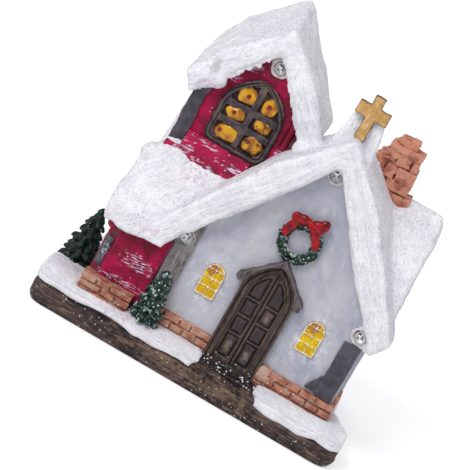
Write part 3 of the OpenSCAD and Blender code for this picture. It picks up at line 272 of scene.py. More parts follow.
def coats(tone, *layers):
    """Lays colours over a ground colour, each as (mask, share of the mask, colour)."""
    for mask, share, colour in layers:
        if not isinstance(mask, bpy.types.NodeSocket):
            mask = mask["Mask"]
        if share != 1:
            mask = times(mask, share)
        below, above = ((*c, 1) if isinstance(c, tuple) else c for c in (tone, colour))
        tone = add(mask.id_data, "Mix", {0: mask, 6: below, 7: above}, data_type="RGBA").outputs[2]
    return tone


def between(value, low, high, to_low=0.0, to_high=1.0):
    """Turns a value's run from low to high into an even one from to_low to to_high."""
    run = {0: value, 1: low, 2: high, 3: to_low, 4: to_high}
    return add(value.id_data, "MapRange", run, interpolation_type="SMOOTHSTEP").outputs[0]


def calc(how, a, b=0.0):
    """One sum of two values, at least one of which is a socket."""
    tree = (a if isinstance(a, bpy.types.NodeSocket) else b).id_data
    return add(tree, "Math", {0: a, 1: b}, operation=how).outputs[0]


def times(a, b):
    """The product of two values."""
    return calc("MULTIPLY", a, b)


# Brush strokes run along one direction: Lengths is how long a stroke is along X, Y and Z in
# millimetres, Turn tips them about Y, and they mirror about the upright plane x = Mirror. A plane
# a metre off leaves them unmirrored.
strokes, given, out = effect(
    "brush_strokes",
    {"Lengths": (6.0, 6.0, 0.8), "Turn": 0.0, "Mirror": -1.0, "Low": 0.5, "High": 0.6, "Seed": 0.0},
    ["Mask", "Height"],
)
place = add(strokes, "TexCoord").outputs["Object"]
split = add(strokes, "SeparateXYZ", {0: place})
mirrored = calc("ABSOLUTE", calc("SUBTRACT", split.outputs[0], given["Mirror"]))
place = add(strokes, "CombineXYZ", {0: mirrored, 1: split.outputs[1], 2: split.outputs[2]}).outputs[0]
tip = {"Vector": place, "Angle": given["Turn"], "Axis": (0, 1, 0)}
place = add(strokes, "VectorRotate", tip).outputs[0]
place = add(strokes, "VectorMath", {0: place, 1: (1 / mm,) * 3}, operation="MULTIPLY").outputs[0]
place = add(strokes, "VectorMath", {0: place, 1: given["Lengths"]}, operation="DIVIDE").outputs[0]
grain = add(
    strokes, "TexNoise",
    {"Vector": place, "W": given["Seed"], "Scale": 1.0, "Detail": 4.0, "Roughness": 0.62},
    noise_dimensions="4D",
).outputs[0]
strokes.links.new(between(grain, given["Low"], given["High"]), out["Mask"])
strokes.links.new(grain, out["Height"])

# Blotches are the clouds that a wet brush leaves, Size millimetres wide.
blotches, given, out = effect(
    "paint_blotches",
    {"Size": 5.0, "Low": 0.4, "High": 0.6, "Seed": 0.0, "Detail": 3.0},
    ["Mask", "Height"],
)
place = add(blotches, "TexCoord").outputs["Object"]
scale = calc("DIVIDE", 1 / mm, given["Size"])
cloud = add(
    blotches, "TexNoise",
    {"Vector": place, "W": given["Seed"], "Scale": scale, "Detail": given["Detail"], "Roughness": 0.6},
    noise_dimensions="4D",
).outputs[0]
blotches.links.new(between(cloud, given["Low"], given["High"]), out["Mask"])
blotches.links.new(cloud, out["Height"])

# Raised edges catch a dry brush, and hollows are darkened by a thin dark wash and painted shade. Both
# are read from how sharp the skin is at each point, and broken up by small noise.
relief, given, out = effect(
    "raised_and_sunk", {"Sharp": 0.06, "Breakup": 0.5, "Size": 0.8}, ["Raised", "Sunk"]
)
bend = add(relief, "NewGeometry").outputs["Pointiness"]
place = add(relief, "TexCoord").outputs["Object"]
scale = calc("DIVIDE", 1 / mm, given["Size"])
speck = add(relief, "TexNoise", {"Vector": place, "Scale": scale, "Detail": 3.0}).outputs[0]
loose = times(calc("SUBTRACT", speck, 0.5), given["Breakup"])
loose = times(loose, given["Sharp"])
bent = calc("ADD", bend, loose)
for label, sign in (("Raised", 1), ("Sunk", -1)):
    off = times(calc("SUBTRACT", bent, 0.5), sign)
    relief.links.new(between(off, 0.0, given["Sharp"]), out[label])

# Flecks are small scattered grains, such as glitter, sand or drops of paint. Share is how many
# of the cells, Size millimetres wide, hold one.
flecks, given, out = effect("flecks", {"Size": 0.5, "Share": 0.1, "Round": 0.35, "Seed": 0.0}, ["Mask"])
place = add(flecks, "TexCoord").outputs["Object"]
scale = calc("DIVIDE", 1 / mm, given["Size"])
shift = times(given["Seed"], 0.0137)
place = add(flecks, "VectorMath", {0: place, 1: shift}, operation="ADD").outputs[0]
cells = add(flecks, "TexVoronoi", {"Vector": place, "Scale": scale})
draw = add(flecks, "SeparateColor", {0: cells.outputs["Color"]}).outputs[0]
chosen = calc("LESS_THAN", draw, given["Share"])
near = between(cells.outputs["Distance"], given["Round"], times(given["Round"], 0.6))
flecks.links.new(times(chosen, near), out["Mask"])

# A spot is a soft round patch about a point, Radii millimetres wide, with a ragged edge.
spot, given, out = effect(
    "paint_spot",
    {"Centre": (0.0, 0.0, 0.0), "Radii": (3.0, 3.0, 3.0), "Ragged": 0.3, "Soft": 0.6},
    ["Mask"],
)
place = add(spot, "TexCoord").outputs["Object"]
place = add(spot, "VectorMath", {0: place, 1: (1 / mm,) * 3}, operation="MULTIPLY").outputs[0]
shake = add(spot, "TexNoise", {"Vector": place, "Scale": 0.9, "Detail": 3.0}).outputs[0]
place = add(spot, "VectorMath", {0: place, 1: given["Centre"]}, operation="SUBTRACT").outputs[0]
place = add(spot, "VectorMath", {0: place, 1: given["Radii"]}, operation="DIVIDE").outputs[0]
far = add(spot, "VectorMath", {0: place}, operation="LENGTH").outputs["Value"]
shake = times(calc("SUBTRACT", shake, 0.5), given["Ragged"])
far = calc("ADD", far, times(shake, 3.0))
spot.links.new(between(far, 1.0, calc("SUBTRACT", 1.0, given["Soft"])), out["Mask"])


def spots_at(tree, radii, *centres, ragged=0.3, soft=0.6):
    """One mask of several like spots."""
    shape = {"Radii": radii, "Ragged": ragged, "Soft": soft}
    whole, *others = (use(tree, spot, Centre=centre, **shape)["Mask"] for centre in centres)
    for mask in others:
        whole = calc("MAXIMUM", whole, mask)
    return whole


def finish_paint(name, colour, roughness, height, depth, **shine):
    """A painted material from a colour, a roughness, and a bump as deep as depth in millimetres;
    a roughness pair follows the height."""
    paint = bpy.data.materials[name]
    tree = paint.node_tree
    if not isinstance(height, bpy.types.NodeSocket):
        height = height["Height"]
    if isinstance(roughness, tuple):
        roughness = between(height, 0.3, 0.7, *roughness)
    bump = add(tree, "Bump", {"Height": height, "Distance": depth * mm, "Strength": 1.0})
    given = {"Base Color": colour, "Roughness": roughness, "Normal": bump.outputs[0]}
    shader = add(tree, "BsdfPrincipled", given)
    for label, value in {"Specular_IOR_Level": 0.2, **shine}.items():
        shader.inputs[label.replace("_", " ")].default_value = value
    add(tree, "OutputMaterial", {"Surface": shader.outputs[0]})
    return paint


def start_paint(name):
    """An empty material, and its node tree."""
    paint = bpy.data.materials.new(name)
    paint.use_nodes = True
    paint.node_tree.nodes.clear()
    return paint.node_tree


slab = casting("slab_cast", ["ground_slab"], cell=0.4, soften=2)
points, facing = skin_of(slab)
side = 1 - np.clip(np.abs(facing[:, 2]) * 1.6, 0, 1)
drag = 0.16 * lumps(points, (9, 9, 1.1), 3) + 0.10 * lumps(points, (4, 4, 0.6), 4)
drag += 0.2 * lumps(points, 7, 5)
move_points(slab, points + facing * (drag * side)[:, None])

tree = start_paint("umber_base_paint")
streaks = use(tree, strokes, Lengths=(6, 6, 0.9), Low=0.5, High=0.64, Seed=2.0)
fine = use(tree, strokes, Lengths=(2.2, 2.2, 0.35), Low=0.52, High=0.68, Seed=5.0)
dark_hollows = use(tree, relief, Sharp=0.05, Breakup=0.9, Size=0.5)
dust = use(tree, flecks, Size=0.8, Share=0.4, Round=0.34, Seed=1.0)
sown = use(tree, blotches, Size=5.0, Low=0.48, High=0.6, Seed=4.0)
patch = use(tree, blotches, Size=9.0, Low=0.45, High=0.58, Seed=3.0)
brown = spots_at(tree, (15.0, 9.0, 3.2), (-8.0, -20.0, 4.2), (8.0, -21.0, 3.4), ragged=0.8, soft=0.9)
tone = coats(
    (0.014, 0.009, 0.011),
    (patch, 1, (0.062, 0.038, 0.038)),
    (streaks, 0.75, (0.19, 0.13, 0.1)),
    (times(brown, patch["Height"]), 1, (0.28, 0.18, 0.11)),
    (fine, 0.55, (0.33, 0.24, 0.2)),
    # Painted shade: the slab's hollows are darkened.
    (dark_hollows["Sunk"], 0.7, (0.012, 0.008, 0.01)),
    (times(dust["Mask"], sown["Mask"]), 1, (0.55, 0.48, 0.4)),
)
gloss = between(dust["Mask"], 0.0, 1.0, 0.6, 0.25)
height = calc("ADD", times(fine["Height"], 0.6), streaks["Height"])
base_paint = finish_paint("umber_base_paint", tone, gloss, height, 0.35)
fit(slab, base_paint, "base_paint", "ground_slab")

# Snow on the ground: three banks of thick white paste, left and right of the path and behind.
# They are pressed on by hand, hang over the slab's edge in a wavy lip and are painted white.


def one_axis(tree, what, axis):
    """One axis of the place or of the direction faced: what is Object or Normal, axis 0, 1 or 2."""
    return add(tree, "SeparateXYZ", {0: add(tree, "TexCoord").outputs[what]}).outputs[axis]


def snow_paint(name, lengths, turn=0.0, mirror=-1.0, grainy=0.5, stain=None, dull=None):
    """White paste with grit on its slopes and brush strokes where it looks to the front; stain is
    the radii and centres of the places that violet paint has spattered, and dull of grimy ones."""
    tree = start_paint(name)
    finer = tuple(0.4 * n for n in lengths)
    drawn = use(tree, strokes, Lengths=lengths, Turn=turn, Mirror=mirror, Low=0.36, High=0.64, Seed=7.0)
    thin = use(tree, strokes, Lengths=finer, Turn=turn, Mirror=mirror, Low=0.54, High=0.66, Seed=8.0)
    cloud = use(tree, blotches, Size=6.5, Low=0.38, High=0.66, Seed=6.0)
    grit = use(tree, blotches, Size=0.55, Low=0.48, High=0.6, Seed=4.0, Detail=2.0)
    spark = use(tree, flecks, Size=0.75, Share=0.1, Round=0.3, Seed=2.0)
    grime = use(tree, flecks, Size=0.75, Share=0.07, Round=0.26, Seed=9.0)
    edge = use(tree, relief, Sharp=0.08, Breakup=0.6, Size=0.9)
    ahead = one_axis(tree, "Normal", 1)
    brushed = between(ahead, -0.3, -0.85, 0.3, 1.0)
    gritty = times(between(ahead, -0.3, -0.85, 1.0, 0.35), grainy)
    tone = coats(
        (0.73, 0.72, 0.785),
        (cloud, 1, (0.85, 0.84, 0.875)),
        (times(drawn["Mask"], times(brushed, 0.7)), 1, (0.92, 0.915, 0.93)),
        (times(thin["Mask"], times(brushed, 0.65)), 1, (0.46, 0.45, 0.52)),
        (times(grit["Mask"], times(gritty, 0.62)), 1, (0.45, 0.44, 0.48)),
        (times(grime["Mask"], times(gritty, 0.75)), 1, (0.26, 0.25, 0.3)),
        # Painted shade: the snow's hollows are greyed.
        (edge["Sunk"], 0.35, (0.5, 0.49, 0.54)),
    )
    if stain:
        drops = use(tree, flecks, Size=0.7, Share=0.5, Round=0.3, Seed=3.0)
        smear = use(tree, blotches, Size=2.4, Low=0.46, High=0.62, Seed=10.0)
        near = spots_at(tree, *stain, ragged=0.9, soft=0.6)
        tone = coats(
            tone,
            (times(near, smear["Mask"]), 0.5, (0.68, 0.46, 0.64)),
            (times(near, drops["Mask"]), 1, (0.26, 0.14, 0.28)),
        )
    if dull:
        grimy = times(spots_at(tree, *dull, ragged=0.9, soft=1.0), 0.6)
        tone = coats(tone, (grimy, 1, (0.4, 0.36, 0.34)))
    tone = coats(tone, (spark, 1, (0.96, 0.96, 0.98)))
    gloss = between(spark["Mask"], 0.0, 1.0, 0.62, 0.18)
    height = calc("ADD", times(grit["Height"], gritty), drawn["Height"])
    return finish_paint(name, tone, gloss, height, 0.3)


ground_snow = snow_paint(
    "ground_snow_paint", (6.0, 3.0, 1.0), grainy=0.5,
    stain=((7.5, 5.0, 4.0), (-34.0, -12.0, 8.0), (-17.5, -20.5, 8.0)),
)
banks = (
    ("left", 11, ((-30.4, -16.9, 6.6), (1.5, -12.0, 7.9)), ((-30.4, -12, 6.6), (-26.5, 19.9, 7.9))),
    ("right", 12, ((15.1, -15.9, 6.6), (33.2, -12.0, 7.9)), ((31.0, -12, 6.6), (34.0, 19.9, 7.9))),
    ("back", 13, ((-30.4, 17.0, 6.6), (34.0, 20.2, 7.9))),
)
lip_z, flat_z, slope_y = 6.9, 7.2, -18.0
for side, seed, *under in banks:
    bank = casting("snow_bank_" + side, ["snow_" + side], cell=0.35, soften=16, blocks_too=under)
    points, facing = skin_of(bank)
    level = points * (1, 1, 0)
    wave = lumps(level, 5.5, seed) * 0.75 + lumps(level, 2.1, seed + 1) * 0.25
    points[:, 2] += wave * np.clip((lip_z - points[:, 2]) / 1.4, 0, 1)
    puff = 0.3 + 0.26 * lumps(points, 6, seed + 2) + 0.1 * lumps(points, 2.2, seed + 3)
    puff += 0.035 * lumps(points, 0.8, seed)
    high = np.clip((points[:, 2] - flat_z) / 0.4, 0, 1)
    points[:, 2] += 0.18 * high - 1.5 * high * np.clip((slope_y - points[:, 1]) / 6.0, 0, 1) ** 1.6
    move_points(bank, points + facing * puff[:, None])
    fit(bank, ground_snow, "snow", "snow_" + side)

# Walls of the main house and the chapel: hollow castings about 2.4 mm thick, brushed with a pearly
# grey-blue paint, lighter in the middle and round the windows, with painted shade under the roof's edge.


def plain_cast(name, node, paint, slot, cell, soften, *rough, **more):
    """Casts one CAD node, roughens it by layers and fits it in the node's place."""
    fit(casting(name, [node], cell, soften, *rough, **more), paint, slot, node)


chapel_x = 8.5
tree = start_paint("pearl_wall_paint")
cloud = use(tree, blotches, Size=9.0, Low=0.36, High=0.64, Seed=12.0)
fanned = {"Mirror": chapel_x * mm}
wisp = use(tree, strokes, Lengths=(2.2, 2.2, 6.5), Turn=0.35, Low=0.46, High=0.68, Seed=13.0, **fanned)
warm = use(tree, blotches, Size=6.0, Low=0.52, High=0.7, Seed=14.0)
hair = use(tree, strokes, Lengths=(0.5, 0.5, 3.2), Turn=0.2, Low=0.55, High=0.72, Seed=15.0, **fanned)
middle = use(tree, spot, Centre=(chapel_x, -16.0, 34.0), Radii=(17.0, 8.0, 15.0), Ragged=0.5, Soft=0.9)
panes = spots_at(tree, (5.2, 4.0, 6.6), (-4.6, -16.0, 22.6), (22.0, -16.0, 22.4), ragged=0.8, soft=0.9)
# Painted shade: the chapel's upper wall under the gable's rakes is darkened.
tip = use(tree, spot, Centre=(chapel_x, -16.0, 53.0), Radii=(13.0, 8.0, 12.0), Ragged=0.4, Soft=0.9)
pits = use(tree, flecks, Size=1.8, Share=0.014, Round=0.12, Seed=5.0)
tone = coats(
    (0.38, 0.39, 0.475),
    (cloud, 1, (0.52, 0.515, 0.58)),
    (middle, 0.35, (0.54, 0.53, 0.565)),
    (tip, 0.5, (0.38, 0.395, 0.48)),
    (warm, 0.5, (0.56, 0.54, 0.51)),
    (wisp, 0.5, (0.6, 0.6, 0.655)),
    (times(panes, wisp["Height"]), 1, (0.86, 0.86, 0.9)),
    (hair, 0.45, (0.66, 0.66, 0.71)),
    (pits, 1, (0.05, 0.045, 0.05)),
)
gloss = between(wisp["Height"], 0.3, 0.7, 0.36, 0.5)
height = calc("ADD", wisp["Height"], times(hair["Height"], 0.5))
wall_paint = finish_paint("pearl_wall_paint", tone, gloss, height, 0.3)
plain_cast("house_walls", "main_walls", wall_paint, "wall_paint", 0.5, 1, (0.12, 6, 21), (0.05, 2, 22))
plain_cast(
    "chapel_front", "chapel_walls", wall_paint, "wall_paint", 0.3, 1, (0.14, 7, 23), (0.06, 2.2, 24)
)

# Red wing and tower: the same casting painted deep raspberry red, dry brushed with white where
# the brush passed over it. The tower's front has a half round post right of its window.


def red_paint(name, grit, *dry):
    """Raspberry red with painted shade in its hollows and on faces turned to the left; grit is the share
    of white specks, and dry is (radii, centres...) of patches brushed with white."""
    tree = start_paint(name)
    cloud = use(tree, blotches, Size=4.5, Low=0.36, High=0.64, Seed=31.0)
    streak = use(tree, strokes, Lengths=(2.4, 2.4, 0.28), Turn=0.12, Low=0.51, High=0.58, Seed=32.0)
    crumbs = use(tree, flecks, Size=0.7, Share=0.24, Round=0.28, Seed=34.0)
    loose = use(tree, flecks, Size=0.8, Share=grit, Round=0.26, Seed=35.0)
    white = calc("MAXIMUM", streak["Mask"], crumbs["Mask"])
    fine = use(tree, strokes, Lengths=(1.6, 1.6, 0.3), Turn=0.8, Low=0.5, High=0.7, Seed=33.0)
    edge = use(tree, relief, Sharp=0.07, Breakup=0.9, Size=0.5)
    facing_x_for_shade = one_axis(tree, "Normal", 0)
    tone = coats(
        (0.17, 0.001, 0.02),
        (cloud, 1, (0.44, 0.002, 0.065)),
        (fine, 0.35, (0.46, 0.006, 0.08)),
        # Painted shade: the hollows are darkened.
        (edge["Sunk"], 0.8, (0.05, 0.001, 0.008)),
        (edge["Raised"], 0.15, (0.6, 0.15, 0.28)),
        # Painted shade: faces turned to the left are darkened.
        (between(facing_x_for_shade, -0.35, -0.75, 0.0, 0.5), 1, (0.05, 0.001, 0.006)),
    )
    for radii, *centres in dry:
        patch = times(spots_at(tree, radii, *centres, ragged=0.7, soft=0.5), white)
        tone = coats(tone, (patch, 1, (0.74, 0.62, 0.8)))
    tone = coats(tone, (loose, 1, (0.7, 0.5, 0.66)))
    gloss = between(cloud["Height"], 0.3, 0.7, 0.3, 0.46)
    height = calc("ADD", fine["Height"], times(streak["Height"], 0.6))
    return finish_paint(name, tone, gloss, height, 0.25)


wing_red = red_paint(
    "wing_red_paint", 0.03,
    ((4.9, 3.0, 2.3), (-21.6, -17.2, 18.2)), ((9.0, 3.0, 1.0), (-22.0, -17.2, 12.6)),
)
tower_red = red_paint(
    "tower_red_paint", 0.04,
    ((9.0, 5.0, 0.9), (-19.0, -9.2, 44.0)), ((3.0, 5.0, 2.6), (-25.5, -8.5, 45.6)),
    ((5.0, 3.0, 1.3), (-7.5, -6.8, 51.5), (-4.0, -6.8, 55.0)),
    ((4.0, 3.0, 1.1), (-24.5, -6.6, 65.0), (-21.0, -6.6, 69.6)),
)
corner_lump = ((-30.2, -17.4, 24.4), (1.7, 1.2, 1.9), 15)
half_round = [((-5.6, -6.6, z), (0.95, 0.8, 1.6), 0) for z in np.arange(56.5, 63.5, 0.8)]
plain_cast(
    "wing_front", "wing_bay", wing_red, "red_paint", 0.25, 2, (0.12, 3.5, 34), (0.06, 1.1, 35),
    lumps_too=[corner_lump],
)
plain_cast(
    "tower_front", "tower_walls", tower_red, "red_paint", 0.28, 2, (0.14, 3.5, 36), (0.06, 1.1, 37),
    lumps_too=half_round,
)
sill_red = red_paint(
    "sill_red_paint", 0.2,
    ((10.0, 5.0, 1.0), (-19.0, -9.2, 43.8)), ((3.0, 5.0, 2.4), (-25.5, -8.5, 45.4)),
    ((5.0, 4.0, 0.8), (-14.0, -8.6, 46.6), (-21.0, -8.0, 48.4)),
)
plain_cast(
    "tower_sill_slope", "tower_sill", sill_red, "red_paint", 0.22, 3,
    (0.25, 2.6, 38), (0.14, 0.9, 39), (0.05, 0.4, 40),
)

# Charcoal paint is brushed over the tower's corners, the side window of the wing and the right
# pillar, all of them raised strips of the same casting.
tree = start_paint("charcoal_paint")
cloud = use(tree, blotches, Size=3.0, Low=0.38, High=0.64, Seed=41.0)
hair = use(tree, strokes, Lengths=(0.5, 0.5, 2.4), Low=0.52, High=0.7, Seed=42.0)
edge = use(tree, relief, Sharp=0.08, Breakup=0.8, Size=0.6)
ruddy = spots_at(tree, (4.0, 5.0, 5.0), (-2.9, -7.0, 55.0), (-2.9, -7.0, 61.0), ragged=0.5, soft=0.5)
tone = coats(
    (0.05, 0.047, 0.058),
    (cloud, 1, (0.088, 0.082, 0.1)),
    (hair, 0.4, (0.17, 0.16, 0.19)),
    (edge["Raised"], 0.4, (0.24, 0.22, 0.24)),
    (ruddy, 1, (0.09, 0.02, 0.03)),
    # Painted shade: the hollows are darkened.
    (edge["Sunk"], 0.6, (0.016, 0.013, 0.015)),
)
charcoal = finish_paint("charcoal_paint", tone, (0.45, 0.65), hair, 0.25)
plain_cast(
    "tower_corners", "tower_pilasters", charcoal, "grey_paint", 0.22, 3, (0.3, 2.8, 43), (0.1, 1.0, 44)
)

tree = start_paint("wing_window_paint")
cloud = use(tree, blotches, Size=1.6, Low=0.4, High=0.6, Seed=46.0)
dash = use(tree, strokes, Lengths=(0.8, 0.8, 0.25), Turn=-0.4, Low=0.52, High=0.6, Seed=47.0)
shine = use(tree, spot, Centre=(-29.2, -15.4, 17.6), Radii=(1.8, 2.4, 1.9), Ragged=0.8, Soft=0.6)
lit = times(shine["Mask"], dash["Mask"])
tone = coats((0.04, 0.04, 0.05), (cloud, 1, (0.11, 0.11, 0.125)), (lit, 1, (0.72, 0.77, 0.86)))
gloss = between(cloud["Mask"], 0.0, 1.0, 0.3, 0.5)
pane_grey = finish_paint("wing_window_paint", tone, gloss, cloud, 0.15)
plain_cast("wing_side_window", "bay_window", pane_grey, "grey_paint", 0.15, 2, (0.08, 1.2, 45))

# Roofs: thick snow over the main house, the chapel and the tower. It is the same white paste,
# gritty on the slopes and brushed smooth along the gables, with soft edges that sag and drip.
tower_x = -15.6
gable_turn, tower_turn = math.atan(1.33), math.atan(1.19)
roof_snow = snow_paint(
    "roof_snow_paint", (7.0, 2.0, 0.8), -gable_turn, chapel_x * mm, 1.0,
    stain=(
        (6.0, 4.0, 3.4), (-25.0, -18.5, 28.0), (-20.0, -9.5, 41.0), (15.0, 4.0, 57.0), (18.5, 3.0, 57.5),
    ),
)
tower_snow = snow_paint(
    "tower_snow_paint", (5.0, 2.4, 0.9), -tower_turn, tower_x * mm, 0.9,
    stain=((5.0, 4.0, 1.6), (-26.0, -9.5, 62.0), (16.5, 4.0, 60.0), (19.5, 4.0, 57.0)),
    dull=((1.7, 3.0, 2.6), (-27.6, -10.0, 66.2)),
)


def brushed_ridges(points, middle, turn, seed, depth):
    """Low ridges that a stiff brush leaves along both slopes of a gable."""
    across = np.abs(points[:, 0] - middle)
    along = across * math.cos(turn) - points[:, 2] * math.sin(turn)
    over = across * math.sin(turn) + points[:, 2] * math.cos(turn)
    laid = np.stack([along, points[:, 1], over], axis=1)
    return depth * (lumps(laid, (6, 2.2, 0.9), seed) + 0.5 * lumps(laid, (3, 1.1, 0.5), seed + 1))


drifts = [
    ((15.0, 5.0, 55.2), (3.8, 2.6, 5.6), -25), ((18.0, 4.8, 54.2), (2.6, 2.0, 4.2), -20),
    ((13.0, 5.5, 58.0), (2.5, 3.0, 3.0), 0), ((-20.4, -17.9, 28.6), (3.0, 1.5, 1.7), 35),
    ((-31.4, -8.5, 40.4), (2.6, 3.0, 2.6), 0),
]
both_roofs = ["main_roof", "chapel_roof"]
house_top = casting("house_roof_snow", both_roofs, cell=0.36, soften=60, lumps_too=drifts)
points, facing = skin_of(house_top)
wing_x, eave_z, gable_y, corner_x, corner_z = -16.5, 29.0, -16.5, 30.5, 50.5
wing_side = np.clip((wing_x - points[:, 0]) / 3.0, 0, 1)
eave = np.clip((eave_z - points[:, 2]) / 3.0, 0, 1) * (points[:, 1] < 0) * wing_side
level = points * (1, 0, 0)
points[:, 2] += eave * (0.9 * lumps(level, 4.5, 51) + 0.4 * lumps(level, 1.7, 52))
puff = 0.52 + 0.38 * lumps(points, 8, 53) + 0.16 * lumps(points, 2.6, 54) + 0.09 * lumps(points, 0.8, 55)
corner = np.clip((points[:, 0] - corner_x) / 4.5, 0, 1) * np.clip((points[:, 2] - corner_z) / 7, 0, 1)
points[:, 0] -= 1.1 * corner**2
rake = np.clip((gable_y - points[:, 1]) / 1.5, 0, 1) * (1 - wing_side)
puff += rake * brushed_ridges(points, chapel_x, gable_turn, 58, 0.14)
move_points(house_top, points + facing * puff[:, None])
fit(house_top, roof_snow, "snow", *both_roofs)

drips = [
    ((-26.3, -8.2, 65.6), (1.7, 1.2, 2.4), 8), ((-25.0, -8.4, 67.8), (1.6, 1.2, 2.2), 30),
    ((-22.6, -8.3, 70.0), (1.5, 1.1, 1.6), 40), ((-28.9, -8.4, 62.9), (1.7, 1.3, 2.4), 10),
    ((-19.6, -8.3, 73.2), (1.6, 1.1, 1.2), 50), ((-28.9, -8.8, 62.4), (2.7, 1.9, 2.6), 20),
    ((-26.0, -8.7, 63.0), (2.4, 1.7, 1.9), -10), ((-0.6, -9.3, 58.6), (3.2, 2.2, 2.2), 0),
    ((2.2, -9.0, 59.6), (2.4, 2.4, 3.0), 0),
]
cap_top = casting("tower_roof_snow", ["tower_roof"], cell=0.33, soften=52, lumps_too=drips)
points, facing = skin_of(cap_top)
puff = 0.5 + 0.44 * lumps(points, 7, 61) + 0.18 * lumps(points, 2.4, 62)
puff += brushed_ridges(points, tower_x, tower_turn, 63, 0.12) + 0.09 * lumps(points, 0.8, 64)
move_points(cap_top, points + facing * puff[:, None])
fit(cap_top, tower_snow, "snow", "tower_roof")
form = bmesh.new()
rng = np.random.default_rng(66)
slopes = (
    ((-28.8, 60.8), (-17.8, 74.3), 34, -8.6), ((-12.6, 73.4), (-2.4, 60.2), 26, -8.6),
    ((14.6, 62.0), (20.8, 55.2), 30, 3.8),
)
for (x0, z0), (x1, z1), count, y in slopes:
    for share in np.linspace(0, 1, count):
        x, z = x0 + share * (x1 - x0), z0 + share * (z1 - z0)
        place = (x, y + rng.uniform(-0.3, 0.3), z - rng.uniform(0.1, 1.0))
        radii = (rng.uniform(0.4, 0.85), 0.6, rng.uniform(0.6, 1.5))
        lump_into(form, place, radii, rng.uniform(-35, 35))
fit(cast_form("tower_snow_fringe", form, 0.17, 2, (0.15, 0.8, 67)), tower_snow, "snow")

# Pedestal and cross: a snowy block on the gable's point carries a flat cast cross, painted a
# matte gold with darker, rubbed edges.
pedestal_snow = snow_paint("pedestal_snow_paint", (1.6, 1.6, 4.5), 0.1, chapel_x * mm, 0.5)
plain_cast(
    "cross_pedestal_snow", "cross_pedestal", pedestal_snow, "snow", 0.25, 7,
    (0.3, 3.5, 71), (0.12, 1.3, 72), (0.04, 0.5, 73),
)

tree = start_paint("cross_gold_paint")
cloud = use(tree, blotches, Size=2.2, Low=0.4, High=0.62, Seed=74.0)
edge = use(tree, relief, Sharp=0.06, Breakup=0.7, Size=0.5)
rub = use(tree, strokes, Lengths=(0.7, 0.7, 1.8), Low=0.5, High=0.68, Seed=75.0)
ahead = one_axis(tree, "Normal", 1)
tone = coats(
    (0.5, 0.27, 0.085),
    (cloud, 1, (0.66, 0.42, 0.18)),
    (rub, 0.55, (0.82, 0.62, 0.38)),
    (edge["Raised"], 0.8, (0.2, 0.09, 0.025)),
    (between(ahead, -0.75, -0.35), 1, (0.1, 0.04, 0.015)),
    # Painted shade: the hollows are darkened.
    (edge["Sunk"], 0.8, (0.16, 0.08, 0.03)),
)
gold = finish_paint("cross_gold_paint", tone, (0.34, 0.5), rub, 0.2, Metallic=0.35)
plain_cast("gold_cross", "cross", gold, "gold_paint", 0.14, 2, (0.16, 1.6, 76), (0.07, 0.6, 77))

# Brickwork: the chimney, the plinths and the planter are modelled brick by brick in the
# casting, painted terracotta and washed with brown in the joints, with painted shade in the hollows.


def corners_of(node):
    """The low and the high corner of a CAD node's box in millimetres."""
    return (np.array(corner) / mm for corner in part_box(node))


def shaken_block(form, low, high, shake, rng):
    """Adds one block to a bmesh and moves each of its corners a little."""
    made = len(form.verts)
    block_into(form, low, high)
    form.verts.ensure_lookup_table()
    for corner in form.verts[made:]:
        corner.co += Vector(rng.uniform(-shake, shake, 3))


def brick_courses(name, low, high, length, seed, lumps_too=()):
    """A wall of three courses of uneven bricks between two corners, over a core that fills the
    joints."""
    courses, joint, inset, stagger = 3, 0.5, 0.5, 0.45
    rng = np.random.default_rng(seed)
    form = bmesh.new()
    core = (low[0] + 0.15, low[1] + inset, low[2]), (high[0] - 0.15, high[1] - 0.1, high[2] - 0.2)
    block_into(form, *core)
    tall, long = (high[2] - low[2]) / courses, high[0] - low[0]
    for row in range(courses):
        z0, z1 = low[2] + row * tall, low[2] + (row + 1) * tall
        count = max(1, round(long / length))
        ends = low[0] + long * np.arange(count + 1) / count
        if count > 1:
            ends[1:-1] += (stagger * (row % 2) - 0.2) * length
            ends[1:-1] += rng.uniform(-0.16, 0.16, count - 1) * length
            ends = np.sort(ends)
        for i in range(count):
            draw = rng.uniform(-0.14, 0.14, 4)
            a = (ends[i] + joint / 2 * (i > 0), low[1] + draw[0], z0 + joint / 2 * (row > 0))
            top = z1 - joint / 2 + draw[1] * (row < courses - 1)
            b = (ends[i + 1] - joint / 2 * (i < count - 1), high[1], top)
            shaken_block(form, a, b, 0.1, rng)
    for lump in lumps_too:
        lump_into(form, *lump)
    return cast_form(name, form, 0.16, 2, (0.07, 1.4, seed), (0.04, 0.5, seed + 1))


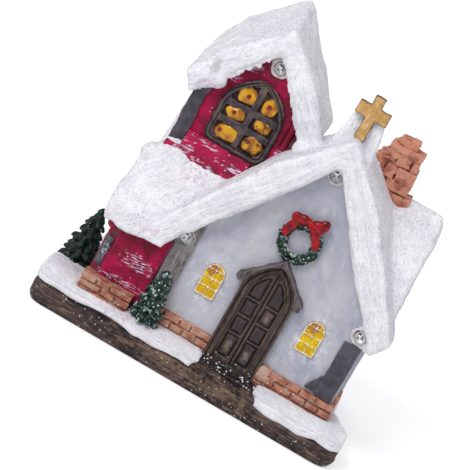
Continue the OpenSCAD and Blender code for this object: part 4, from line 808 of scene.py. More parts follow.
def brick_paint(name, snow, pale, bright=1.0):
    """Terracotta bricks with a brown wash, paler rubbed faces, a few snow specks and cream patches."""
    tree = start_paint(name)
    each = use(tree, blotches, Size=3.0, Low=0.45, High=0.55, Seed=81.0, Detail=0.0)
    cloud = use(tree, blotches, Size=1.1, Low=0.4, High=0.66, Seed=82.0)
    edge = use(tree, relief, Sharp=0.055, Breakup=0.5, Size=0.5)
    hair = use(tree, strokes, Lengths=(1.6, 1.6, 0.3), Low=0.52, High=0.7, Seed=83.0)
    specks = use(tree, flecks, Size=0.7, Share=snow, Round=0.3, Seed=84.0)
    cream = use(tree, blotches, Size=2.4, Low=0.5, High=0.66, Seed=85.0)
    tones = ((0.27, 0.085, 0.055), (0.45, 0.19, 0.125), (0.54, 0.26, 0.18))
    deep, clay, rubbed = ((bright * r, bright * g, bright * b) for r, g, b in tones)
    tone = coats(
        deep,
        (each, 1, clay),
        (cloud, 0.5, rubbed),
        (hair, 0.35, (0.6, 0.33, 0.24)),
        (edge["Raised"], 0.35, (0.6, 0.3, 0.2)),
        # A brown wash and painted shade: the joints and hollows are darkened.
        (edge["Sunk"], 0.85, (0.13, 0.035, 0.024)),
        (times(cream["Mask"], pale), 1, (0.5, 0.4, 0.32)),
    )
    if pale:
        lump = spots_at(tree, (2.4, 3.0, 2.6), (15.9, -17.0, 11.0), ragged=0.5, soft=0.6)
        tone = coats(tone, (lump, 0.75, (0.56, 0.42, 0.33)))
    tone = coats(tone, (specks, 1, (0.8, 0.78, 0.82)))
    height = calc("ADD", cloud["Height"], hair["Height"])
    return finish_paint(name, tone, between(cloud["Height"], 0.3, 0.7, 0.5, 0.68), height, 0.16)


terracotta = brick_paint("chimney_brick_paint", 0.0, 0.0, 1.3)
snowy_brick = brick_paint("plinth_brick_paint", 0.1, 0.45)
end_lump = ((16.2, -16.6, 10.6), (1.9, 1.1, 2.2), 10)
for name, node, grown, length, seed, more in (
    ("plinth_bricks_right", "plinth_right", (0, 0, 0), 3.9, 85, [end_lump]),
    ("plinth_bricks_left", "plinth_left", (0, 0, 0), 3.9, 88, []),
    ("planter_bricks", "bay_planter", (0, 1.5, -0.6), 4.2, 91, []),
):
    low, high = corners_of(node)
    fit(brick_courses(name, low, high + grown, length, seed, more), snowy_brick, "brick", node)
strips = casting("side_bricks", ["plinth_side"], cell=0.2, soften=2)
points, facing = skin_of(strips)
long, tall, foot = 3.6, 2.0, 6.5
course = (points[:, 2] - foot) / tall
beat = (points[:, 1] + np.floor(course) % 2 * long / 2 + 0.5 * lumps(points, 3, 92)) / long
joint = np.minimum(np.abs(beat - np.round(beat)) * long, np.abs(course - np.round(course)) * tall)
push = 0.3 * np.clip(joint / 0.3, 0, 1) - 0.22 + 0.07 * lumps(points, 1.4, 93)
move_points(strips, points + facing * push[:, None])
fit(strips, snowy_brick, "brick", "plinth_side")

stack_parts = (
    ("chimney_stack", ((14.0, 5.6, 46.0), (24.3, 12.2, 64.0)), [
        ((13.1, 5.6, 50.0), (17.2, 12.4, 60.6)), ((13.6, 5.0, 60.6), (16.6, 12.4, 63.7)),
        ((16.9, 4.9, 60.2), (19.6, 12.4, 63.6)), ((19.9, 4.5, 60.8), (24.3, 12.5, 63.8)),
        ((18.7, 4.9, 57.8), (21.5, 12.4, 60.3)), ((21.8, 4.7, 58.0), (24.6, 12.5, 60.5)),
        ((19.6, 4.8, 50.0), (24.2, 12.4, 57.5)), ((24.3, 5.0, 49.0), (26.0, 12.3, 57.7))]),
    ("chimney_cap", ((15.3, 5.0, 63.6), (23.4, 12.6, 67.0)), [
        ((15.0, 4.4, 63.9), (18.0, 12.9, 65.2)), ((18.3, 4.4, 63.9), (21.7, 12.9, 65.2)),
        ((15.6, 4.2, 65.4), (21.8, 12.9, 66.5)), ((22.1, 4.3, 63.8), (23.8, 12.9, 66.4)),
        ((15.5, 4.0, 66.7), (23.7, 13.0, 67.8)), ((13.9, 5.4, 63.3), (15.2, 12.2, 64.7))]),
    ("chimney_top", ((17.0, 8.2, 67.4), (21.2, 12.0, 69.4)), [
        ((16.9, 7.6, 67.8), (21.5, 12.4, 70.0)), ((16.2, 8.6, 67.6), (17.1, 11.8, 68.9))]),
)
for name, (low, high), bricks in stack_parts:
    form = bmesh.new()
    block_into(form, low, high)
    rng = np.random.default_rng(len(bricks))
    for a, b in bricks:
        shaken_block(form, a, b, 0.3, rng)
    piece = cast_form(name + "_bricks", form, 0.17, 5, (0.16, 2.0, 95), (0.08, 0.7, 96))
    fit(piece, terracotta, "brick", name)

# Door: two leaves of boards in a pointed frame under a small board hood, all one casting,
# painted umber and rubbed with a lighter brown. Each leaf has four sunk panels.
door_x, gap_half, leaf_half, frame_half = 8.3, 0.22, 4.7, 6.6
foot_z, spring_z, leaf_rise, top_z = 7.9, 25.8, 7.5, 35.2
front_y, back_y = -16.75, -15.85


def umber_paint(name, dark, mid, light, snow=0.0):
    """Painted wood grain, rubbed lighter on faces and edges; the layers groove and panel darken it."""
    tree = start_paint(name)
    sunk_line = add(tree, "Attribute", attribute_name="groove").outputs["Fac"]
    board = add(tree, "Attribute", attribute_name="panel").outputs["Fac"]
    grain = use(tree, strokes, Lengths=(0.45, 0.45, 5.0), Low=0.42, High=0.66, Seed=101.0)
    cloud = use(tree, blotches, Size=3.2, Low=0.4, High=0.66, Seed=102.0)
    edge = use(tree, relief, Sharp=0.07, Breakup=0.8, Size=0.45)
    tone = coats(
        dark,
        (cloud, 1, mid),
        (grain, 0.5, light),
        (edge["Raised"], 0.5, light),
        (board, 0.75, (0.045, 0.034, 0.042)),
        # Painted shade in the hollows, together with the grooves that are painted dark.
        (calc("MAXIMUM", edge["Sunk"], sunk_line), 1, (0.01, 0.007, 0.008)),
    )
    if snow:
        panels = ((5.9, -16.8, 12.0), (10.7, -16.8, 12.0), (10.7, -16.8, 22.2))
        rubbed = spots_at(tree, (1.1, 2.0, 2.1), *panels, ragged=0.5, soft=0.9)
        specks = use(tree, flecks, Size=0.6, Share=snow, Round=0.36, Seed=103.0)
        foot = use(tree, spot, Centre=(8.3, -17.5, 7.0), Radii=(10.0, 6.0, 4.2), Ragged=0.6, Soft=0.6)
        tone = coats(
            tone,
            (rubbed, 0.75, (0.26, 0.19, 0.15)),
            (times(specks["Mask"], foot["Mask"]), 1, (0.8, 0.8, 0.84)),
        )
    height = calc("ADD", grain["Height"], times(cloud["Height"], 0.4))
    return finish_paint(name, tone, between(grain["Height"], 0.3, 0.7, 0.42, 0.6), height, 0.22)


door_umber = umber_paint(
    "door_paint", (0.02, 0.014, 0.016), (0.062, 0.042, 0.037), (0.21, 0.145, 0.115), 0.16
)
hood_umber = umber_paint("hood_paint", (0.05, 0.042, 0.048), (0.1, 0.08, 0.082), (0.24, 0.2, 0.195))


def keep_layer(piece, name, values):
    """Stores one number per point of a piece, for its paint to read."""
    layer = piece.data.attributes.new(name, "FLOAT", "POINT")
    layer.data.foreach_set("value", np.clip(values, 0, 1).astype(np.float32))


def groove(points, x0, x1, z0, z1, width, slant=0.0):
    """How near each point is to a panel's outline, from 0 to 1; a slanted top follows the arch."""
    x, z = points[:, 0], points[:, 2]
    inner = min(abs(x0 - door_x), abs(x1 - door_x))
    top = z1 - slant * np.clip(np.abs(x - door_x) - inner, 0, None) ** 1.6
    inside = np.minimum(np.minimum(x - x0, x1 - x), np.minimum(z - z0, top - z))
    return np.exp(-((inside / width) ** 2)), np.clip(inside / 0.9, 0, 1)


for side, name in ((-1, "left"), (1, "right")):
    form = bmesh.new()
    outline = [(gap_half, foot_z), (leaf_half, foot_z)]
    for share in (k / 24 for k in range(25)):
        x = max(gap_half, leaf_half * (1 - share**1.75))
        outline.append((x, spring_z + leaf_rise * share**0.8))
    ahead, behind = (
        [form.verts.new((door_x + side * x, y, z)) for x, z in outline] for y in (front_y, back_y)
    )
    form.faces.new(ahead)
    form.faces.new(behind[::-1])
    for k in range(len(outline)):
        form.faces.new([ahead[k - 1], ahead[k], behind[k], behind[k - 1]])
    bmesh.ops.recalc_face_normals(form, faces=form.faces)
    leaf = cast_form("door_leaf_boards_" + name, form, 0.12, 1)
    points, facing = skin_of(leaf)
    near, far = sorted((door_x + side * 1.05, door_x + side * 3.85))
    cut, swell = np.zeros(len(points)), np.zeros(len(points))
    for z0, z1, slant in ((9.4, 14.8, 0.0), (15.7, 19.5, 0.0), (20.5, 24.1, 0.0), (25.1, 30.9, 0.62)):
        line, dome = groove(points, near, far, z0, z1, 0.27, slant)
        cut, swell = np.maximum(cut, line), np.maximum(swell, dome)
    front_side = facing[:, 1] < -0.3
    dark_hollows = np.clip(cut * 1.5 - 0.4 + 0.25 * lumps(points, 0.7, 115), 0, 1)
    keep_layer(leaf, "groove", front_side * dark_hollows)
    keep_layer(leaf, "panel", front_side * swell)
    points[:, 1] += front_side * (0.42 * cut - 0.1 * swell + 0.05 * lumps(points, (0.5, 2, 4), 104))
    move_points(leaf, points)
    fit(leaf, door_umber, "brown_paint", "door_leaf_" + name)

behind_leaves = [
    ((door_x - leaf_half, -16.25, foot_z), (door_x + leaf_half, -15.9, spring_z + 4)),
    ((door_x - 1.6, -16.25, spring_z), (door_x + 1.6, -15.9, spring_z + 8)),
]
jamb = casting("door_frame_boards", ["door_frame"], cell=0.15, soften=1, blocks_too=behind_leaves)
points, facing = skin_of(jamb)
off = np.abs(points[:, 0] - door_x)
rise = np.clip((points[:, 2] - spring_z) / (top_z - spring_z), 0, 1)
rim = frame_half * (1 - rise**2.1) - off
front_side = facing[:, 1] < -0.3
line = np.exp(-(((rim - 0.75) / 0.2) ** 2)) * front_side
sunk = (points[:, 1] > -16.6) * (off < leaf_half + 0.2)
keep_layer(jamb, "groove", line * 1.4 - 0.3 + sunk + 0.2 * lumps(points, 0.7, 116))
points[:, 1] += 0.3 * line + front_side * 0.09 * lumps(points, (0.6, 2, 5), 105)
move_points(jamb, points + facing * (0.06 * lumps(points, 1.2, 106))[:, None])
fit(jamb, door_umber, "brown_paint", "door_frame")
hood_ends = [((0.7, -17.4, 28.9), (1.5, 1.4, 1.0), -60), ((15.6, -17.2, 28.2), (0.6, 1.2, 1.4), 40)]
plain_cast(
    "door_hood_boards", "door_hood", hood_umber, "brown_paint", 0.16, 2,
    (0.16, 2.0, 107), (0.07, (0.5, 1.2, 1.6), 108), lumps_too=hood_ends,
)
step_umber = umber_paint(
    "step_paint", (0.01, 0.008, 0.009), (0.028, 0.02, 0.02), (0.12, 0.085, 0.08), 0.16
)
plain_cast(
    "door_step_treads", "door_steps", step_umber, "brown_paint", 0.2, 2,
    (0.2, (3, 2, 0.7), 109), (0.08, 0.7, 110),
)
foot_low, foot_high = corners_of("door_steps")
form = bmesh.new()
rng = np.random.default_rng(117)
for k in range(27):
    x = rng.uniform(foot_low[0] - 0.5, foot_high[0] + 0.5)
    place = (x, foot_low[1] + 3.2 * rng.uniform(0, 1) ** 1.8, foot_high[2] + rng.uniform(-0.1, 0.1))
    if k % 3 == 0:
        place = (x, foot_low[1] - 0.05, rng.uniform(foot_low[2], foot_high[2]))
    radii = [rng.uniform(0.12, most) for most in (0.4, 0.26, 0.24)]
    lump_into(form, place, radii, rng.uniform(-90, 90))
fit(cast_form("door_foot_crumbs", form, 0.09, 1), ground_snow, "snow")

# Pillars: the left one is a rough brown post under its lamp, the right one a smooth dark board
# with a small broken flare at its foot.
post_paint = umber_paint("pillar_paint", (0.08, 0.064, 0.062), (0.25, 0.225, 0.225), (0.42, 0.395, 0.42))
plain_cast(
    "left_pillar", "pillar_left", post_paint, "brown_paint", 0.2, 3,
    (0.22, 2.4, 111), (0.1, (0.6, 1, 2.4), 112),
    lumps_too=[((-13.2, -16.0, 32.8), (1.9, 0.9, 2.4), 12)],
)
flare = [((25.7 + 0.2 * k, -16.7, 12.7 + 0.32 * k), (28.7, -16.0, 13.2 + 0.32 * k)) for k in range(13)]
plain_cast(
    "right_pillar", "pillar_right", charcoal, "grey_paint", 0.2, 4, (0.14, 3.0, 113), (0.05, 1.0, 114),
    blocks_too=flare,
)

# Chapel windows: flat arched panes painted yellow with an orange brown patch, crossed by thin
# white painted bars that stand a little proud.
tree = start_paint("window_yellow_paint")
cloud = use(tree, blotches, Size=1.7, Low=0.4, High=0.66, Seed=121.0)
rust = spots_at(tree, (1.7, 3.0, 2.0), (-5.6, -16.2, 26.3), (20.9, -16.2, 26.2), ragged=0.5, soft=0.3)
tone = coats((0.6, 0.34, 0.004), (cloud, 1, (0.84, 0.6, 0.01)), (rust, 0.85, (0.42, 0.14, 0.05)))
yellow = finish_paint("window_yellow_paint", tone, (0.35, 0.5), cloud, 0.12)
plain_cast("window_panes", "chapel_window_panes", yellow, "yellow_paint", 0.14, 1, (0.06, 0.9, 122))


def clouded(name, dark, light, rough, depth, size, low, seed, **shine):
    """A simple paint of one colour with clouds of another, rough from the dark to the light."""
    tree = start_paint(name)
    cloud = use(tree, blotches, Size=size, Low=low, High=0.6, Seed=seed)
    tone = coats(dark, (cloud, 1, light))
    return finish_paint(name, tone, between(cloud["Mask"], 0.0, 1.0, *rough), cloud, depth, **shine)


bar_white = clouded(
    "window_bar_paint", (0.72, 0.66, 0.5), (0.9, 0.88, 0.84), (0.4, 0.6), 0.1, 0.9, 0.42, 123.0
)
bars = casting("window_bars", ["chapel_window_bars"], cell=0.1, soften=1)
points, facing = skin_of(bars)
move_points(bars, points - 0.11 * facing * (1, 0, 1))
roughen(bars, (0.08, 0.8, 124), (0.04, 0.35, 125))
fit(bars, bar_white, "white_paint", "chapel_window_bars")

# Tower window: a thick dark frame with six openings, each filled with a fat drop of amber glaze,
# most of them with a dark red dot.
tree = start_paint("tower_frame_paint")
cloud = use(tree, blotches, Size=1.8, Low=0.4, High=0.62, Seed=137.0)
wipe = use(tree, blotches, Size=3.5, Low=0.5, High=0.66, Seed=138.0)
edge = use(tree, relief, Sharp=0.07, Breakup=0.8, Size=0.5)
# Painted shade: the back of the openings, behind the amber drops, is painted near black.
depth = one_axis(tree, "Object", 1)
deep = between(depth, -6.98 * mm, -6.85 * mm)
sunk_line = add(tree, "Attribute", attribute_name="groove").outputs["Fac"]
deep = calc("MAXIMUM", deep, sunk_line)
tone = coats(
    (0.042, 0.032, 0.038),
    (cloud, 1, (0.092, 0.068, 0.074)),
    (wipe, 0.5, (0.19, 0.125, 0.075)),
    (edge["Raised"], 0.25, (0.24, 0.19, 0.18)),
    # Painted shade in the hollows and at the openings' back; the grooves are painted dark.
    (calc("MAXIMUM", edge["Sunk"], deep), 1, (0.016, 0.008, 0.008)),
)
frame_paint = finish_paint("tower_frame_paint", tone, (0.4, 0.55), cloud, 0.15)
mullion_x, pane_y = -15.4, -6.85
window_half, foot_z, spring_z, top_z, corner_r = 7.8, 49.6, 58.6, 68.0, 2.6
widths = ((-22.0, -9.2, 50.6, 62.5), (-20.6, -10.4, 62.0, 65.4), (-18.8, -12.2, 65.0, 67.0))
behind_panes = [((x0, -6.75, z0), (x1, -6.2, z1)) for x0, x1, z0, z1 in widths]
ring = casting(
    "tower_window_frame_ring", ["tower_window_frame"], cell=0.18, soften=3, blocks_too=behind_panes
)
points, facing = skin_of(ring)
rise = np.clip((points[:, 2] - spring_z) / (top_z - spring_z), 0, 1)
aside = np.abs(points[:, 0] - tower_x)
inside = np.minimum(window_half * (1 - rise**2.1) - aside, points[:, 2] - foot_z)
past_x, past_z = aside - (window_half - corner_r), foot_z + corner_r - points[:, 2]
rounded = corner_r - np.hypot(past_x, past_z)
inside = np.where((past_x > 0) & (past_z > 0), rounded, inside)
rings = np.exp(-(((inside - 1.15) / 0.2) ** 2)) + np.exp(-((inside / 0.35) ** 2))
rings *= facing[:, 1] < -0.2
keep_layer(ring, "groove", rings * 1.7 - 0.3 + 0.3 * lumps(points, 1.1, 139))
points[:, 1] += 0.22 * rings
move_points(ring, points)
roughen(ring, (0.16, 2.0, 131), (0.09, 0.8, 132))
fit(ring, frame_paint, "dark_frame_paint", "tower_window_frame")
pane_rows = (
    (-2.75, 63.2, 2.75, 2.3), (2.9, 63.1, 2.05, 2.45), (-3.4, 58.2, 2.75, 1.7),
    (3.4, 58.4, 2.65, 1.65), (-3.3, 53.1, 3.3, 2.15), (3.3, 53.3, 2.75, 2.25),
)
form = bmesh.new()
for dx, z, half_x, half_z in pane_rows:
    x = mullion_x + dx
    lump_into(form, (x, pane_y, z), (half_x, 0.75, half_z))
    for side in (-1, 1):
        place = (x + side * 0.35 * half_x, pane_y, z - 0.12 * half_z)
        lump_into(form, place, (0.62 * half_x, 0.7, 0.88 * half_z))
drops = cast_form("amber_panes", form, 0.16, 2, (0.3, (1.5, 9, 1.5), 133), (0.06, 0.6, 134))

tree = start_paint("amber_glaze")
cloud = use(tree, blotches, Size=2.6, Low=0.36, High=0.6, Seed=135.0, Detail=1.0)
murk = use(tree, blotches, Size=1.1, Low=0.46, High=0.58, Seed=136.0)
dull = spots_at(tree, (2.8, 3.0, 2.0), (-12.4, -7.0, 58.4), (-11.6, -7.0, 53.0), ragged=0.4, soft=0.3)
dots = spots_at(
    tree, (0.78, 2.0, 0.78), (-18.0, -7.0, 63.0), (-12.7, -7.0, 63.2), (-19.2, -7.0, 58.2),
    (-20.3, -7.0, 53.0), (-13.2, -7.0, 53.8), ragged=0.12, soft=0.5,
)
edge = use(tree, relief, Sharp=0.1, Breakup=0.3, Size=0.6)
depth = one_axis(tree, "Object", 1)
# Painted shade: the back of each drop, where it meets the frame, is darkened.
rim = between(depth, -7.4 * mm, -7.1 * mm)
beneath = spots_at(
    tree, (1.15, 2.0, 1.15), (-18.0, -7.0, 62.8), (-12.7, -7.0, 63.0), (-19.2, -7.0, 58.0),
    (-20.2, -7.0, 52.9), ragged=0.3, soft=0.9,
)
tone = coats(
    (0.36, 0.11, 0.001),
    (cloud, 1, (0.66, 0.33, 0.002)),
    (times(dull, murk["Mask"]), 1, (0.12, 0.035, 0.01)),
    # Painted shade in the drops' hollows.
    (edge["Sunk"], 0.3, (0.2, 0.06, 0.002)),
    (rim, 1, (0.06, 0.014, 0.003)),
    (beneath, 0.55, (0.4, 0.07, 0.002)),
    (dots, 1, (0.16, 0.006, 0.003)),
)
amber = finish_paint(
    "amber_glaze", tone, (0.08, 0.2), cloud, 0.08,
    Specular_IOR_Level=0.3, Coat_Weight=0.15, Coat_Roughness=0.05,
)
fit(drops, amber, "amber_gloss", "tower_window_panes")

# Wreath and bow: a ring of small leaves pressed into the casting, painted dark green and flecked
# with snow, with a glossy red bow whose ends run down both sides of it.


def green_paint(name, snow, top, strewn, lit=1.0):
    """Dark green leaves with painted shade, nearly black, in the hollows; snow lies on top of them and
    is strewn over them; lit is how far the leaves' edges are lightened."""
    tree = start_paint(name)
    cloud = use(tree, blotches, Size=1.6, Low=0.4, High=0.62, Seed=141.0)
    edge = use(tree, relief, Sharp=0.09, Breakup=0.6, Size=0.4)
    drift = use(tree, blotches, Size=1.1, Low=1.0 - snow, High=1.06 - snow, Seed=142.0)
    specks = use(tree, flecks, Size=0.78, Share=strewn, Round=0.32, Seed=143.0)
    up = one_axis(tree, "Normal", 2)
    lying = times(between(up, 0.0, 0.7), top)
    deep = 0.5 + 0.5 * min(lit, 1.0)
    tone = coats(
        (0.006 * deep, 0.014 * deep, 0.011 * deep),
        (cloud, 1, (0.012 * deep, 0.036 * deep, 0.022 * deep)),
        (edge["Raised"], 0.55, (0.034 * lit, 0.11 * lit, 0.075 * lit)),
        (edge["Sunk"], 0.85, (0.002, 0.004, 0.004)),
        (times(drift["Mask"], lying), 1, (0.5, 0.58, 0.6)),
        (specks, 1, (0.7, 0.76, 0.78)),
    )
    return finish_paint(name, tone, (0.3, 0.5), cloud, 0.15)


wreath_at = np.array((chapel_x, -16.9, 42.0))
ring_r, tube_r = 3.95, 1.0
rng = np.random.default_rng(144)
form = bmesh.new()
for k in range(230):
    turn, roll_at = rng.uniform(0, 2 * math.pi), rng.uniform(0, 2 * math.pi)
    out_dir = np.array((math.cos(turn), 0, math.sin(turn)))
    reach = ring_r + tube_r * math.cos(roll_at)
    place = wreath_at + out_dir * reach * (1, 1, 1.06) - (0, tube_r * abs(math.sin(roll_at)) * 0.75, 0)
    lean = turn + math.pi / 2 + rng.uniform(-0.9, 0.9)
    frame_turn = Matrix.Rotation(-lean, 4, "Y") @ Matrix.Rotation(rng.uniform(-0.6, 0.6), 4, "Z")
    lump_into(form, place, (rng.uniform(0.5, 0.85), 0.32, 0.3), frame_turn)
for k in range(40):
    turn = 2 * math.pi * k / 40
    place = wreath_at + (ring_r * math.cos(turn), 0.1, ring_r * math.sin(turn))
    lump_into(form, place, (0.75, 0.7, 0.75))
leaves = cast_form("wreath_leaves", form, 0.15, 1, (0.08, 0.5, 145))
fit(leaves, green_paint("wreath_green_paint", 0.54, 0.7, 0.14), "green_paint", "wreath")

form = bmesh.new()
petals = (
    ((8.7, -18.0, 47.0), (0.9, 0.9, 1.0), 0), ((6.9, -17.9, 47.2), (1.9, 0.95, 1.25), -12),
    ((5.4, -17.8, 46.9), (1.5, 0.85, 1.3), 25), ((10.2, -18.1, 47.6), (1.6, 1.0, 1.2), -20),
    ((11.6, -18.1, 48.0), (1.3, 0.9, 1.9), 20), ((11.0, -18.0, 46.9), (1.5, 0.9, 1.0), 20),
)
for petal in petals:
    lump_into(form, *petal)
ribbons = (
    ((6.9, 46.7), (5.6, 45.7), (4.9, 44.3), (4.5, 42.7)),
    ((9.6, 46.5), (10.7, 45.4), (11.6, 44.1), (12.1, 42.9)),
)
for ribbon in ribbons:
    for (x0, z0), (x1, z1) in zip(ribbon, ribbon[1:]):
        lean = 90 - math.degrees(math.atan2(z1 - z0, x1 - x0))
        for share in (0.0, 0.33, 0.66, 1.0):
            place = (x0 + share * (x1 - x0), -17.75, z0 + share * (z1 - z0))
            lump_into(form, place, (1.05, 0.6, 0.85), lean)
bow = cast_form("red_bow", form, 0.13, 2, (0.14, (1.2, 3, 1.2), 146))
tree = start_paint("bow_red_gloss")
cloud = use(tree, blotches, Size=1.2, Low=0.4, High=0.62, Seed=148.0)
edge = use(tree, relief, Sharp=0.09, Breakup=0.4, Size=0.4)
specks = use(tree, flecks, Size=0.5, Share=0.003, Round=0.3, Seed=149.0)
tone = coats(
    (0.12, 0.001, 0.004),
    (cloud, 1, (0.4, 0.002, 0.008)),
    # Painted shade: the bow's hollows are darkened.
    (edge["Sunk"], 1, (0.02, 0.002, 0.003)),
    (edge["Raised"], 0.15, (0.6, 0.06, 0.08)),
    (specks, 1, (0.85, 0.8, 0.8)),
)
red_gloss = finish_paint("bow_red_gloss", tone, (0.12, 0.25), cloud, 0.08, Specular_IOR_Level=0.25)
fit(bow, red_gloss, "red_gloss", "wreath_bow")

# Trees: two little firs pressed into the snow, each a twisted pile of leafy lumps, painted nearly
# black green with snow flecks.


def fir(name, foot, height, radius, seed, taper, fat):
    """A small fir of five tiers of drooping leafy lumps round a core; taper is how much narrower
    it is at the top, and fat how large its lumps are."""
    tiers = 5
    rng = np.random.default_rng(seed)
    form = bmesh.new()
    foot = np.array(foot, float)
    for k in range(12):
        share = k / 11
        core = radius * 0.74 * (1 - taper * share)
        lump_into(form, foot + (0, 0, height * (0.05 + 0.85 * share)), (core, core, 1.5))
    for tier in range(tiers):
        share = tier / tiers
        wide = radius * (1 - taper * share)
        z = height * (0.11 + 0.81 * share)
        count = max(5, round(2.7 * wide))
        for k in range(count):
            turn = 2 * math.pi * (k + 0.4 * (tier % 2)) / count + rng.uniform(-0.2, 0.2)
            for ring_share, drop, size in ((0.88, -0.5, 1.0), (0.62, 0.5, 0.85), (0.38, 1.5, 0.7)):
                reach = wide * ring_share * rng.uniform(0.86, 1.08)
                rise = z + drop * height / 14 + rng.uniform(-0.3, 0.3)
                place = foot + (reach * math.cos(turn), reach * math.sin(turn), rise)
                droop = Matrix.Rotation(0.65 + rng.uniform(-0.3, 0.3), 4, "Y")
                lean = Matrix.Rotation(turn, 4, "Z") @ droop
                scale = fat * size * (1 - 0.35 * share)
                lump_into(form, place, (1.3 * scale, 0.85 * scale, 0.55 * scale), lean)
    lump_into(form, foot + (0, 0, height - 1.0), (0.4 + 0.6 * (1 - taper), 0.5, 1.0))
    return cast_form(name, form, 0.2, 1, (0.16, 0.9, seed), (0.09, 0.45, seed + 1))


dark_green = green_paint("left_fir_paint", 0.4, 0.2, 0.03, 0.4)
snowy_green = green_paint("chapel_fir_paint", 0.49, 0.7, 0.17, 1.1)
left_fir = fir("left_fir", (-35.1, -6.0, 7.4), 15.0, 4.1, 151, 0.6, 1.35)
fit(left_fir, dark_green, "green_paint", "tree_left")
chapel_fir = fir("chapel_fir", (-13.9, -19.2, 8.3), 12.8, 3.6, 152, 0.5, 1.1)
fit(chapel_fir, snowy_green, "green_paint", "tree_centre")

# Lamps: clear moulded lenses with a domed tip, held in the walls by a collar of clear glue. In
# each lens a small bright cup holds the light's chip, with three small dark posts before it.
tree = start_paint("lamp_lens")
shader = add(tree, "BsdfPrincipled", {
    "Base Color": (1, 1, 1, 1), "Roughness": 0.03, "IOR": 1.5, "Transmission Weight": 1.0,
})
add(tree, "OutputMaterial", {"Surface": shader.outputs[0]})
lens_clear = bpy.data.materials["lamp_lens"]
cup_metal = clouded(
    "lamp_cup_metal", (0.86, 0.86, 0.88), (1, 1, 1), (0.08, 0.2), 0.06, 0.4, 0.4, 161.0, Metallic=0.35
)
post_dark = clouded(
    "lamp_post_metal", (0.06, 0.06, 0.062), (0.24, 0.24, 0.25), (0.25, 0.4), 0.02, 0.3, 0.4, 164.0,
    Metallic=0.6,
)
tree = start_paint("lamp_glue")
cloud = use(tree, blotches, Size=1.4, Low=0.4, High=0.64, Seed=162.0)
tone = coats((0.7, 0.62, 0.62), (cloud, 1, (0.95, 0.92, 0.92)))
glue_clear = finish_paint(
    "lamp_glue", tone, (0.1, 0.25), cloud, 0.1,
    Transmission_Weight=0.15, IOR=1.48, Coat_Weight=0.3,
)


def turned(name, profile, at, sides):
    """A round form about the Y axis from (y, radius) points, closed where the radius is zero."""
    form = bmesh.new()
    rings = []
    for y, r in profile:
        if r == 0:
            rings.append([form.verts.new((at[0], at[1] + y, at[2]))] * sides)
        else:
            turns = [2 * math.pi * k / sides for k in range(sides)]
            spots = [(at[0] + r * math.cos(t), at[1] + y, at[2] + r * math.sin(t)) for t in turns]
            rings.append([form.verts.new(place) for place in spots])
    for one, two in zip(rings, rings[1:]):
        for k in range(sides):
            corners = [one[k], one[(k + 1) % sides], two[(k + 1) % sides], two[k]]
            unique = list(dict.fromkeys(corners))
            if len(unique) > 2:
                form.faces.new(unique)
    bmesh.ops.recalc_face_normals(form, faces=form.faces)
    return new_piece(name, form)


lens_r, flange_r, lens_front = 1.45, 1.75, -1.9
turns = np.radians(np.arange(0, 91, 7.5))
dome = [(lens_front + lens_r * (1 - math.cos(t)), lens_r * math.sin(t)) for t in turns]
dome[0] = (lens_front, 0)
lens_profile = dome + [(2.4, lens_r), (2.4, flange_r), (3.3, flange_r), (3.4, flange_r - 0.1), (3.4, 0)]
cup_profile = [
    (0.1, 0), (0.0, 0.5), (-0.3, 0.85), (-0.6, 1.25), (-0.6, 1.36), (0.3, 1.0), (1.2, 0.5),
    (3.3, 0.4), (3.3, 0),
]
posts = ((-0.22, 0.3, 0.24, 0.08), (0.2, -0.05, 0.08, 0.24), (-0.3, -0.35, 0.08, 0.14))
lamps = (
    ("gable", (chapel_x, -16.0, 59.4), (20, 200), 0.7), ("left", (-14.2, -16.0, 29.5), (50, 150), 0.7),
    ("right", (31.2, -16.0, 29.5), (-60, 110), 1.0), ("tower", (-14.7, -6.5, 72.2), (20, 160), 1.2),
)
collar_form = bmesh.new()
for name, at, (first, last), heap in lamps:
    fit(turned("lamp_lens_" + name, lens_profile, at, 48), lens_clear, "clear_lens", "led_" + name)
    fit(turned("lamp_cup_" + name, cup_profile, at, 32), cup_metal, "plated_metal")
    form = bmesh.new()
    at = np.array(at)
    for x, z, wide, tall in posts:
        block_into(form, at + (x - wide, -0.3, z - tall), at + (x + wide, 0.6, z + tall))
    fit(cast_form("lamp_posts_" + name, form, 0.07, 2), post_dark, "plated_metal")
    beads = (
        (1.95, 0.45, np.linspace(0, 345, 24)), (2.15, 0.72, np.linspace(first, last, 7)),
        (2.15 + heap, 0.9, np.linspace(first + 20, last - 20, 5)),
    )
    for reach, radius, turns in beads:
        for t in np.radians(turns):
            place = at + (reach * math.cos(t), 0.05, reach * math.sin(t))
            lump_into(collar_form, place, (radius, 0.75, radius))
collars = cast_form("lamp_collars", collar_form, 0.15, 6, (0.2, 1.1, 163), (0.1, 0.5, 165))
fit(collars, glue_clear, "clear_glue", "lamp_glue")

# Electrics under the slab: a moulded black battery box with its screwed door, three button cells,
# a spring and contact plates, a small green board with a resistor, and a slide switch.


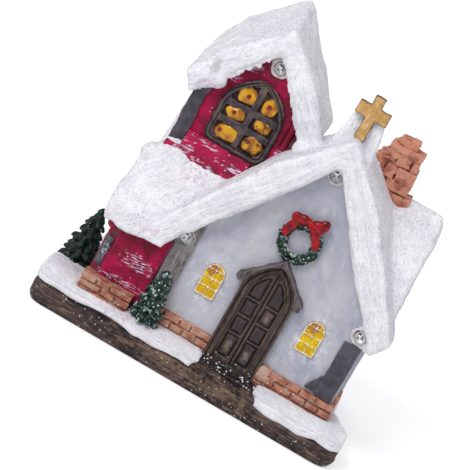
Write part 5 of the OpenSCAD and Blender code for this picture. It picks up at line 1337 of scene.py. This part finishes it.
def plain_finish(name, dark, light, rough, metal, size):
    """A made material with its own fine grain: size is how wide its blotches are, or the three
    lengths of its turned grain."""
    tree = start_paint(name)
    if isinstance(size, tuple):
        grain = use(tree, strokes, Lengths=size, Low=0.4, High=0.62, Seed=171.0)
    else:
        grain = use(tree, blotches, Size=size, Low=0.4, High=0.62, Seed=172.0)
    edge = use(tree, relief, Sharp=0.12, Breakup=0.3, Size=0.6)
    lighter = tuple(min(1.0, 1.5 * v + 0.02) for v in light)
    tone = coats(dark, (grain, 1, light), (edge["Raised"], 0.35, lighter))
    return finish_paint(name, tone, rough, grain, 0.02, Metallic=metal)


# Each finish of the electrics: name, dark and light colour, roughness from smooth to rough, metal,
# grain, how far the edges are rounded, and the nodes that carry it.
dressed = (
    ("box_black_plastic", (0.012, 0.012, 0.014), (0.026, 0.026, 0.03), (0.42, 0.6), 0.0, 0.3, 0.15,
     ("battery_housing", "battery_door")),
    ("knob_black_plastic", (0.02, 0.02, 0.022), (0.04, 0.04, 0.045), (0.35, 0.5), 0.0, 0.25, 0.12,
     ("switch_knob",)),
    ("tin_plate", (0.5, 0.5, 0.49), (0.68, 0.68, 0.66), (0.22, 0.4), 1.0, 0.4, 0.05,
     ("door_screw", "contact_spring", "contact_plates", "switch_body", "led_leads")),
    ("cell_can_steel", (0.55, 0.55, 0.54), (0.72, 0.72, 0.7), (0.18, 0.34), 1.0, (0.1, 2.5, 2.5), 0.15,
     ("button_cells",)),
    ("shrunk_sleeve", (0.01, 0.01, 0.01), (0.024, 0.024, 0.024), (0.5, 0.7), 0.0, 0.3, 0.1,
     ("wire_sleeves",)),
    ("wire_coat", (0.3, 0.012, 0.01), (0.42, 0.02, 0.015), (0.25, 0.4), 0.0, 0.5, 0.0,
     ("wire_gable", "wire_left", "wire_right", "wire_tower")),
    ("solder_mask_green", (0.015, 0.11, 0.045), (0.03, 0.19, 0.08), (0.2, 0.35), 0.0, 0.5, 0.08,
     ("circuit_board",)),
    ("resistor_tan", (0.42, 0.3, 0.15), (0.55, 0.42, 0.24), (0.35, 0.5), 0.0, 0.3, 0.15,
     ("resistor",)),
)
for name, dark, light, rough, metal, size, round_off, nodes in dressed:
    paint = plain_finish(name, dark, light, rough, metal, size)
    for node in nodes:
        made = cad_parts[node]
        made.data.materials.clear()
        made.data.materials.append(paint)
        if round_off:
            soft = made.modifiers.new("rounded_edges", "BEVEL")
            soft.width = round_off * mm
            soft.segments = 3
            soft.limit_method = "ANGLE"
            soft.angle_limit = math.radians(35)
            made.modifiers.new("shaded_by_face", "WEIGHTED_NORMAL")
